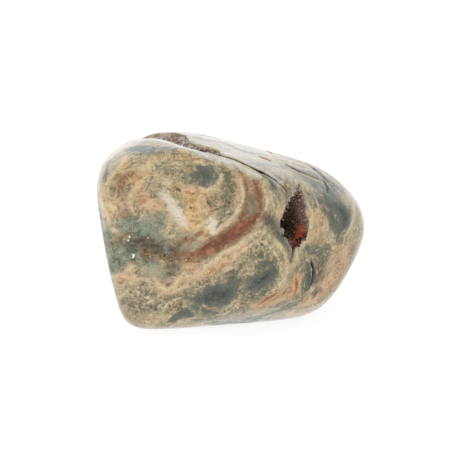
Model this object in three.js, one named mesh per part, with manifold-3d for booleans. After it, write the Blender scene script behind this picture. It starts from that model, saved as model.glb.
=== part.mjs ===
// Tumbled ocean jasper: a polished stone about 38 mm long, with a crystal-lined pocket on its right
// shoulder, a crystal-lined crevice over its top, and fine open cracks.
// Millimetres, +Z up. The stone rests on its flat underside; -Y is its front.
// A direction is an azimuth and an elevation in degrees, seen from the stone's heart:
// azimuth 0 is the front, 90 is +X, 180 is the back, and elevation 90 is straight up.
import * as THREE from 'three';
import { mergeVertices } from 'three/addons/utils/BufferGeometryUtils.js';
import Module from 'manifold-3d';

// Driving dimensions
const HEART_HEIGHT = 11.6;
const EDGE_SHARPNESS = 11;
const BODY_DETAIL = 14;
const UNDERSIDE_WEAR = 0.15;

// The flats that tumbling wore: azimuth, elevation and distance from the heart
const FLATS = [
  [-8, 15, 11.9], // front
  [38, 12, 14.6], // front right, where the pocket is
  [92, 4, 20.3], // right end
  [140, 5, 17.0], // back right
  [175, 10, 13.0], // back
  [-140, -5, 19.5], // back left
  [-92, -12, 16.9], // left
  [-85, 28, 22.0], // upper left edge
  [-120, 68, 16.4], // crest
  [138, 68, 12.5], // top behind
  [96, 56, 14.0], // right shoulder
  [10, -45, 13.4], // lower front
  [85, -38, 16.5], // lower right
  [180, -40, 14.5], // lower back
  [-75, -42, 21.2], // lower left
  [0, -90, HEART_HEIGHT], // underside
];

// Soft swells over the flats: azimuth, elevation, spread in degrees and height
const SWELLS = [
  [-88, 34, 14, 0.8],
  [-105, 60, 14, 0.5],
  [102, 34, 14, 1.0],
];

// Hollows, as stations along each one: azimuth, elevation, half width and depth
const CREVICE = [
  [-129, 24, 0.25, 0.6],
  [-127, 38, 1.0, 1.8],
  [-119, 50, 1.6, 2.7],
  [-104, 60, 1.65, 3.0],
  [-71, 66, 1.25, 2.8],
  [-46, 67.5, 1.0, 2.4],
  [-30, 67.5, 1.15, 2.1],
  [-17, 67, 0.7, 1.5],
  [-6, 65, 0.2, 0.9],
];
const POCKET = [
  [60.5, 42, 0.15, 0.8],
  [52.5, 38.5, 0.95, 2.2],
  [47.5, 35.5, 1.4, 3.2],
  [44, 29.5, 1.9, 4.4],
  [42.5, 24, 2.4, 5.0],
  [42, 18, 1.9, 4.4],
  [40.5, 13, 0.8, 2.6],
  [38, 8, 0.3, 1.2],
  [35, 2.5, 0.12, 0.6],
];

// Open cracks, as stations like those of the hollows
const CRACKS = [
  [ // from the crevice down the front of the right shoulder
    [-14, 65.5, 0.12, 0.7],
    [2, 63.5, 0.16, 0.9],
    [17, 59.5, 0.16, 1.0],
    [27, 55.5, 0.26, 1.3],
    [36, 51, 0.18, 1.1],
    [42, 44, 0.14, 0.8],
    [43, 40, 0.1, 0.5],
  ],
  [ // over the right shoulder
    [88, 53.5, 0.1, 0.5],
    [84, 46.5, 0.22, 1.1],
    [85, 39.5, 0.16, 1.0],
    [87, 33, 0.16, 1.0],
    [82.5, 30, 0.14, 0.8],
    [77, 29, 0.1, 0.5],
  ],
  [ // behind it, down the shoulder's slope
    [117, 45, 0.1, 0.5],
    [108, 39.5, 0.15, 0.9],
    [98.5, 36, 0.15, 0.9],
    [89.5, 29, 0.15, 0.9],
    [85, 25.5, 0.1, 0.5],
  ],
  [ // the hindmost, towards the right end
    [118, 39, 0.1, 0.5],
    [109, 31, 0.15, 0.9],
    [103.5, 24.5, 0.15, 0.9],
    [99, 21.5, 0.1, 0.5],
  ],
  [ // below the pocket
    [49, 2.5, 0.1, 0.5],
    [49.8, -4.5, 0.2, 1.0],
    [46, -12.5, 0.1, 0.5],
  ],
];

// Crystal crusts in the hollows: the gap to the stone, and how far they end under its skin
const CRUST_GAP = 0.4;
const CRUST_THICKNESS = 0.55;
const CRUST_RECESS = 0.45;

// Crystals: they root in both walls and the floor, as shares across and down the hollow, and lean
// towards its middle at a share of its depth, without reaching it
const CRYSTAL_SIDES = 6;
const CRYSTAL_WIDTH = 1.0;
const CRYSTAL_LENGTH = 1.3;
const CRYSTAL_LEAST_SIZE = 0.75;
const CRYSTAL_SIZE_SPREAD = 0.5;
const CRYSTAL_ROOTS = [[-1, 0.42], [0, 0.95], [1, 0.42]];
const CRYSTAL_ROOTED = 0.4;
const CRYSTAL_STRAY = 0.45;
const CRYSTAL_AIM = 0.25;
const CRYSTAL_FREE_SHARE = 0.8;

// Cutters: how far they stand proud of the stone, how much they narrow, and their least sizes
const CUTTER_RISE = 1.5;
const HOLLOW_TAPER = 0.5;
const LEAST_HALF_WIDTH = 0.04;
const LEAST_DEPTH = 0.1;

const { Manifold, Mesh: SolidMesh } = await loadSolids();

async function loadSolids() {
  const wasm = await Module();
  wasm.setup();
  return wasm;
}

// The direction of an azimuth and elevation, as a vector of length one.
function towards(azimuth, elevation) {
  const turn = THREE.MathUtils.degToRad(azimuth);
  const lift = THREE.MathUtils.degToRad(elevation);
  return new THREE.Vector3(
    Math.sin(turn) * Math.cos(lift),
    -Math.cos(turn) * Math.cos(lift),
    Math.sin(lift),
  );
}

// The stone's reach from its heart in a direction: the flats, rounded into each other, and the swells.
function reach(direction) {
  let blend = 0;
  for (const [azimuth, elevation, distance] of FLATS) {
    const share = Math.max(0, direction.dot(towards(azimuth, elevation))) / distance;
    blend += share ** EDGE_SHARPNESS;
  }
  let length = blend ** (-1 / EDGE_SHARPNESS);
  for (const [azimuth, elevation, spread, height] of SWELLS) {
    const angle = THREE.MathUtils.radToDeg(direction.angleTo(towards(azimuth, elevation)));
    length += height * Math.exp(-0.5 * (angle / spread) ** 2);
  }
  return length;
}

// A point over or under the stone's skin, in a direction from its heart.
function skinPoint(direction, rise = 0) {
  const point = direction.clone().multiplyScalar(reach(direction) + rise);
  point.z += HEART_HEIGHT;
  return point;
}

// Moves each vertex of a geometry to the place that a function gives for it, and makes it a solid.
function reshapedSolid(geometry, place) {
  geometry.deleteAttribute('normal');
  geometry.deleteAttribute('uv');
  const closed = mergeVertices(geometry, 1e-4);
  const positions = closed.getAttribute('position');
  const vertex = new THREE.Vector3();
  for (let i = 0; i < positions.count; i += 1) {
    vertex.fromBufferAttribute(positions, i);
    const moved = place(vertex);
    positions.setXYZ(i, moved.x, moved.y, moved.z);
  }
  return new Manifold(new SolidMesh({
    numProp: 3,
    vertProperties: new Float32Array(positions.array),
    triVerts: new Uint32Array(closed.getIndex().array),
  }));
}

// A solid as a named mesh in a material.
function namedMesh(name, solid, material) {
  const { vertProperties, triVerts } = solid.getMesh();
  const geometry = new THREE.BufferGeometry();
  geometry.setAttribute('position', new THREE.BufferAttribute(vertProperties, 3));
  geometry.setIndex(new THREE.BufferAttribute(triVerts, 1));
  const flat = geometry.toNonIndexed();
  flat.computeVertexNormals();
  const mesh = new THREE.Mesh(flat, material);
  mesh.name = name;
  return mesh;
}

// The whole stone before its hollows, with its underside worn flat.
function bodySolid() {
  return reshapedSolid(new THREE.IcosahedronGeometry(1, BODY_DETAIL), (vertex) => {
    const point = skinPoint(vertex.clone().normalize());
    point.z = Math.max(point.z, UNDERSIDE_WEAR);
    return point;
  });
}

// A place along a hollow, from 0 to 1: its direction, the way across it, its half width and depth.
function stationAt(stations, along) {
  const path = new THREE.CatmullRomCurve3(stations.map(([azimuth, elevation]) => towards(azimuth, elevation)));
  const sizes = new THREE.CatmullRomCurve3(stations.map(([, , half, depth]) => new THREE.Vector3(half, depth, 0)));
  const out = path.getPoint(along).normalize();
  const forward = path.getTangent(along);
  const across = new THREE.Vector3().crossVectors(out, forward).normalize();
  const size = sizes.getPoint(along);
  return { out, across, half: size.x, depth: size.y };
}

// A place in a hollow: along it from 0 to 1, across it from -1 to 1 and down it from 0 to 1.
// The hollow narrows as it goes down, and the inset draws it in from the stone's own wall.
function hollowPlace(stations, along, acrossShare, downShare, inset, rise) {
  const { out, across, half, depth } = stationAt(stations, along);
  const halfHere = Math.max(half - inset, LEAST_HALF_WIDTH) * (1 - HOLLOW_TAPER * downShare ** 2);
  const bottom = Math.max(depth - inset, LEAST_DEPTH);
  const sideways = out.multiplyScalar(reach(out)).addScaledVector(across, acrossShare * halfHere);
  return skinPoint(sideways.normalize(), rise - downShare * (bottom + rise));
}

// The solid that fills a hollow, drawn in by an inset and raised over the skin, or sunk where negative.
function hollowSolid(stations, { inset = 0, rise = CUTTER_RISE, pieces = [16, 4, 3], ends = [0, 1] } = {}) {
  const [first, last] = ends;
  return reshapedSolid(new THREE.BoxGeometry(1, 1, 1, ...pieces), (vertex) => {
    const along = THREE.MathUtils.lerp(first, last, vertex.x + 0.5);
    return hollowPlace(stations, along, 2 * vertex.y, 0.5 - vertex.z, inset, rise);
  });
}

// The stone: its body with the two hollows and the cracks cut in.
function makeStone(material) {
  let stone = bodySolid();
  for (const stations of [CREVICE, POCKET]) {
    stone = stone.subtract(hollowSolid(stations));
  }
  for (const stations of CRACKS) {
    stone = stone.subtract(hollowSolid(stations, { pieces: [8, 1, 1] }));
  }
  return namedMesh('jasper_stone', stone, material);
}

// A number from 0 to 1 that looks random but is the same in every build.
function scatter(count) {
  const wave = Math.sin(count * 12.9898 + 4.1) * 43758.5453;
  return wave - Math.floor(wave);
}

// A crystal: a six-sided point that grows from a wall place towards the middle of the hollow.
function crystalSolid(root, tip, width, spin) {
  const axis = new THREE.Vector3().subVectors(tip, root);
  const cone = new THREE.ConeGeometry(width / 2, axis.length(), CRYSTAL_SIDES);
  cone.translate(0, axis.length() / 2, 0);
  cone.rotateY(spin);
  const turn = new THREE.Quaternion().setFromUnitVectors(new THREE.Vector3(0, 1, 0), axis.normalize());
  return reshapedSolid(cone, (vertex) => vertex.clone().applyQuaternion(turn).add(root));
}

// The crystals of one hollow: rows along it, each with a crystal at every root across it.
function crystalSolids(stations, rows, ends) {
  const inset = CRUST_GAP + CRUST_THICKNESS * CRYSTAL_ROOTED;
  const crystals = [];
  for (let row = 0; row < rows; row += 1) {
    for (const [across, down] of CRYSTAL_ROOTS) {
      const count = crystals.length;
      const stray = (scatter(count) - 0.5) * CRYSTAL_STRAY;
      const along = THREE.MathUtils.lerp(...ends, (row + 0.5 + stray) / rows);
      const root = hollowPlace(stations, along, across, Math.min(down + stray, 1), inset, -CRUST_RECESS);
      const aim = hollowPlace(stations, along, 0, CRYSTAL_AIM, inset, -CRUST_RECESS);
      const size = CRYSTAL_LEAST_SIZE + CRYSTAL_SIZE_SPREAD * scatter(count + 0.5);
      const length = Math.min(CRYSTAL_LENGTH * size, CRYSTAL_FREE_SHARE * root.distanceTo(aim));
      const tip = root.clone().add(aim.sub(root).setLength(length));
      crystals.push(crystalSolid(root, tip, CRYSTAL_WIDTH * size, scatter(count + 0.25) * Math.PI));
    }
  }
  return crystals;
}

// A crust: a lining of a hollow with crystals grown together on it, open to the outside.
function makeCrust(name, stations, { ends, rows, pieces }, material) {
  const filled = hollowSolid(stations, { inset: CRUST_GAP, rise: -CRUST_RECESS, pieces, ends });
  const open = hollowSolid(stations, { inset: CRUST_GAP + CRUST_THICKNESS, pieces });
  const crystals = Manifold.union(crystalSolids(stations, rows, ends)).intersect(filled);
  return namedMesh(name, filled.subtract(open).add(crystals), material);
}

const polishedJasper = new THREE.MeshStandardMaterial({ color: 0xbfa684, roughness: 0.2, metalness: 0 });
const redDruse = new THREE.MeshStandardMaterial({ color: 0x6e3a2c, roughness: 0.35, metalness: 0 });
const brownDruse = new THREE.MeshStandardMaterial({ color: 0x86695a, roughness: 0.4, metalness: 0 });

const jasper = new THREE.Group();
jasper.add(makeStone(polishedJasper));
jasper.add(makeCrust('pocket_crystals', POCKET, { ends: [0.12, 0.72], rows: 9, pieces: [12, 3, 2] }, redDruse));
jasper.add(makeCrust('crevice_crystals', CREVICE, { ends: [0.13, 0.86], rows: 14, pieces: [14, 2, 2] }, brownDruse));

// The origin is under the middle of the stone, at the height of its underside.
const box = new THREE.Box3().setFromObject(jasper);
const middle = box.getCenter(new THREE.Vector3());
jasper.position.set(-middle.x, -middle.y, -box.min.z);

export default jasper;
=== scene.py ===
# The tumbled ocean jasper, finished: a fine stone with its bands, orbs and cracks, and the druse in
# its pocket and in its crevice. Sizes are in millimetres until a mesh is made; the frame is in metres.
import math
import random
import bpy
import bmesh
import numpy as np
from mathutils import Matrix, Vector, noise


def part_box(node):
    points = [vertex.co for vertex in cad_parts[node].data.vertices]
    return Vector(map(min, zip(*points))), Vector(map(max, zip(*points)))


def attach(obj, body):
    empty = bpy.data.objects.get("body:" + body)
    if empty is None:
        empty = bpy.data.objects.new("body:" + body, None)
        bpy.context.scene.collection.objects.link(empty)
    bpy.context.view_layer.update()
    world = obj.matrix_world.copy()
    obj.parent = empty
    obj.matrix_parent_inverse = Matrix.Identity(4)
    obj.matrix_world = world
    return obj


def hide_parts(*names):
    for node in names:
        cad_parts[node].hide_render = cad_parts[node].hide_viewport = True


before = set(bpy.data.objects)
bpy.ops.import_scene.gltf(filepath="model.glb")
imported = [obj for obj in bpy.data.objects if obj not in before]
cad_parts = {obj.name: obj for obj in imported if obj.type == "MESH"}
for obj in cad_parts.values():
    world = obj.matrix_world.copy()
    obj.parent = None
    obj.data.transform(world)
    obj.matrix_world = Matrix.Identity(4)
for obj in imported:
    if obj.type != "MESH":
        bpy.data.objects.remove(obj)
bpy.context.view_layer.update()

MM = 0.001

# The stone's form, as in the part: flats and swells seen from its heart, as azimuth, elevation and
# distance, and as azimuth, elevation, spread in degrees and height.
HEART_HEIGHT = 11.6
EDGE_SHARPNESS = 11
UNDERSIDE_WEAR = 0.15
FLATS = [
    (-8, 15, 11.9), (38, 12, 14.6), (92, 4, 20.3), (140, 5, 17.0), (175, 10, 13.0), (-140, -5, 19.5),
    (-92, -12, 16.9), (-85, 28, 22.0), (-120, 68, 16.4), (138, 68, 12.5), (96, 56, 14.0), (10, -45, 13.4),
    (85, -38, 16.5), (180, -40, 14.5), (-75, -42, 21.2), (0, -90, HEART_HEIGHT),
]
SWELLS = [(-88, 34, 14, 0.8), (-105, 60, 14, 0.5), (102, 34, 14, 1.0)]

# Hollows and cracks: azimuth, elevation, half width and depth of each station. They follow the part's,
# with thinner cracks, and with the crevice and the pocket's lower end fitted more closely to the
# photograph. The first crack runs on from the crevice.
CREVICE = [
    (-129, 24, 0.25, 0.6), (-127, 38, 1.0, 1.8), (-119, 50, 1.6, 2.7), (-104, 60, 1.6, 3.0),
    (-80, 65, 1.05, 2.8), (-58, 67, 0.75, 2.4), (-40, 69, 0.95, 2.0), (-26, 69, 1.05, 1.8),
    (-15, 67.4, 0.5, 1.3), (-6, 66.3, 0.2, 0.8),
]
POCKET = [
    (60.5, 42, 0.15, 0.7), (52.5, 38.5, 0.95, 1.6), (47.5, 35.5, 1.4, 2.5), (44, 29.5, 1.9, 4.2),
    (42.5, 24, 2.4, 4.8), (42.4, 18, 2.0, 3.4), (40.6, 13.5, 0.85, 1.8), (39.7, 11.2, 0.3, 0.7),
    (38.5, 8, 0.24, 0.34), (36.5, 3.5, 0.14, 0.2),
]
CRACKS = [
    [(-14, 67, 0.1, 0.6), (2, 65.3, 0.08, 0.7), (13, 62.6, 0.09, 0.8), (22, 59.4, 0.12, 1.0),
     (29, 56, 0.24, 1.3), (36, 51.5, 0.1, 0.9), (41, 45.5, 0.06, 0.5), (43, 41.5, 0.05, 0.3)],
    [(88, 53.5, 0.08, 0.4), (84, 46.5, 0.18, 1.0), (85, 39.5, 0.12, 0.8), (87, 33, 0.12, 0.8),
     (82.5, 30, 0.11, 0.6), (77, 29, 0.08, 0.3)],
    [(117, 45, 0.08, 0.3), (108, 39.5, 0.12, 0.7), (98.5, 36, 0.12, 0.7), (89.5, 29, 0.12, 0.7),
     (85, 25.5, 0.08, 0.3)],
    [(118, 39, 0.08, 0.3), (109, 31, 0.12, 0.7), (103.5, 24.5, 0.12, 0.7), (99, 21.5, 0.08, 0.3)],
    [(48.6, 1.5, 0.1, 0.25), (49.8, -2.5, 0.2, 0.55), (49, -7, 0.16, 0.45), (46, -12.5, 0.1, 0.3)],
]

# The camera: its height over the horizon in degrees, its distance, the scale and width of its picture
# in pixels, the place that it looks at, and its sensor
VIEW_ELEVATION = 25
VIEW_DISTANCE = 400
PIXELS_PER_MM = 7.0
PICTURE = 460
AIM = (-0.22, -0.35, 12.05)
SENSOR = 36

# How far before and behind the aim a pixel's ray is searched for the skin, and in how many steps
RAY_REACH = 25
RAY_STEPS = 2001

# How far each seed moves the noise along the three axes
SEED_STEPS = (7.3, 3.1, 5.7)


def towards(azimuth, elevation):
    """The direction of an azimuth and elevation, with the front at azimuth 0."""
    turn = math.radians(azimuth)
    lift = math.radians(elevation)
    return np.array([math.sin(turn) * math.cos(lift), -math.cos(turn) * math.cos(lift), math.sin(lift)])


def unit(vectors):
    """The same vectors with length one."""
    return vectors / np.linalg.norm(vectors, axis=-1, keepdims=True)


def reach(directions):
    """The stone's reach from its heart in each direction."""
    blend = np.zeros(len(directions))
    for azimuth, elevation, distance in FLATS:
        share = np.maximum(directions @ towards(azimuth, elevation), 0) / distance
        blend += share ** EDGE_SHARPNESS
    length = blend ** (-1 / EDGE_SHARPNESS)
    for azimuth, elevation, spread, height in SWELLS:
        angle = np.degrees(np.arccos(np.clip(directions @ towards(azimuth, elevation), -1, 1)))
        length += height * np.exp(-0.5 * (angle / spread) ** 2)
    return length


def skin_places(ball):
    """The directions of a ball's vertices, and where they lie once they are pushed out to the skin."""
    directions = unit(np.array([vertex.co[:] for vertex in ball.verts]))
    return directions, directions * reach(directions)[:, None]


def find_heart():
    """The heart's place in the frame: it puts the middle of the fine stone where the CAD stone's is."""
    ball = bmesh.new()
    bmesh.ops.create_icosphere(ball, subdivisions=6, radius=1)
    skin = skin_places(ball)[1]
    ball.free()
    low, high = (np.array(corner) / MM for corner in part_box("jasper_stone"))
    heart = (low + high - skin.min(0) - skin.max(0)) / 2
    heart[2] = HEART_HEIGHT - UNDERSIDE_WEAR
    return heart


HEART = find_heart()


def camera_axes():
    """The directions from the aim to the camera, and to the picture's right and top."""
    lift = math.radians(VIEW_ELEVATION)
    back = np.array([0, -math.cos(lift), math.sin(lift)])
    right = np.array([1.0, 0, 0])
    return back, right, np.cross(back, right)


def seen(x, y):
    """The place on the stone's skin that a pixel of the picture shows, or the nearest one to its ray."""
    back, right, up = camera_axes()
    eye = np.array(AIM) + back * VIEW_DISTANCE
    ray = -back * VIEW_DISTANCE + (right * (x - PICTURE / 2) + up * (PICTURE / 2 - y)) / PIXELS_PER_MM
    ray /= np.linalg.norm(ray)
    steps = np.linspace(VIEW_DISTANCE - RAY_REACH, VIEW_DISTANCE + RAY_REACH, RAY_STEPS)
    places = eye + steps[:, None] * ray - HEART
    lengths = np.linalg.norm(places, axis=1)
    spare = lengths - reach(places / lengths[:, None])
    nearest = int(np.argmax(spare <= 0)) if (spare <= 0).any() else int(np.argmin(spare))
    return places[nearest] / lengths[nearest] * (lengths[nearest] - spare[nearest])


def skin_at(azimuth, elevation):
    """The place on the stone's skin in a direction, from the heart."""
    direction = towards(azimuth, elevation)
    return direction * reach(direction[None])[0]


def smooth_path(points, count):
    """Points along a Catmull-Rom curve through the rows of an array, evenly by row."""
    points = np.asarray(points, float)
    padded = np.vstack([2 * points[0] - points[1], points, 2 * points[-1] - points[-2]])
    places = []
    for where in np.linspace(0, len(points) - 1, count):
        row = min(int(where), len(points) - 2)
        t = where - row
        a, b, c, d = padded[row:row + 4]
        places.append(0.5 * (2 * b + (c - a) * t + (2 * a - 5 * b + 4 * c - d) * t ** 2
                             + (3 * b - a - 3 * c + d) * t ** 3))
    return np.array(places)


def wander(places, scale, seed):
    """Smooth noise from -1 to 1 at each place, with features about a scale of millimetres wide."""
    shift = Vector([seed * step for step in SEED_STEPS])
    return np.array([noise.noise(Vector(place) / scale + shift) for place in places])


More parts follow.
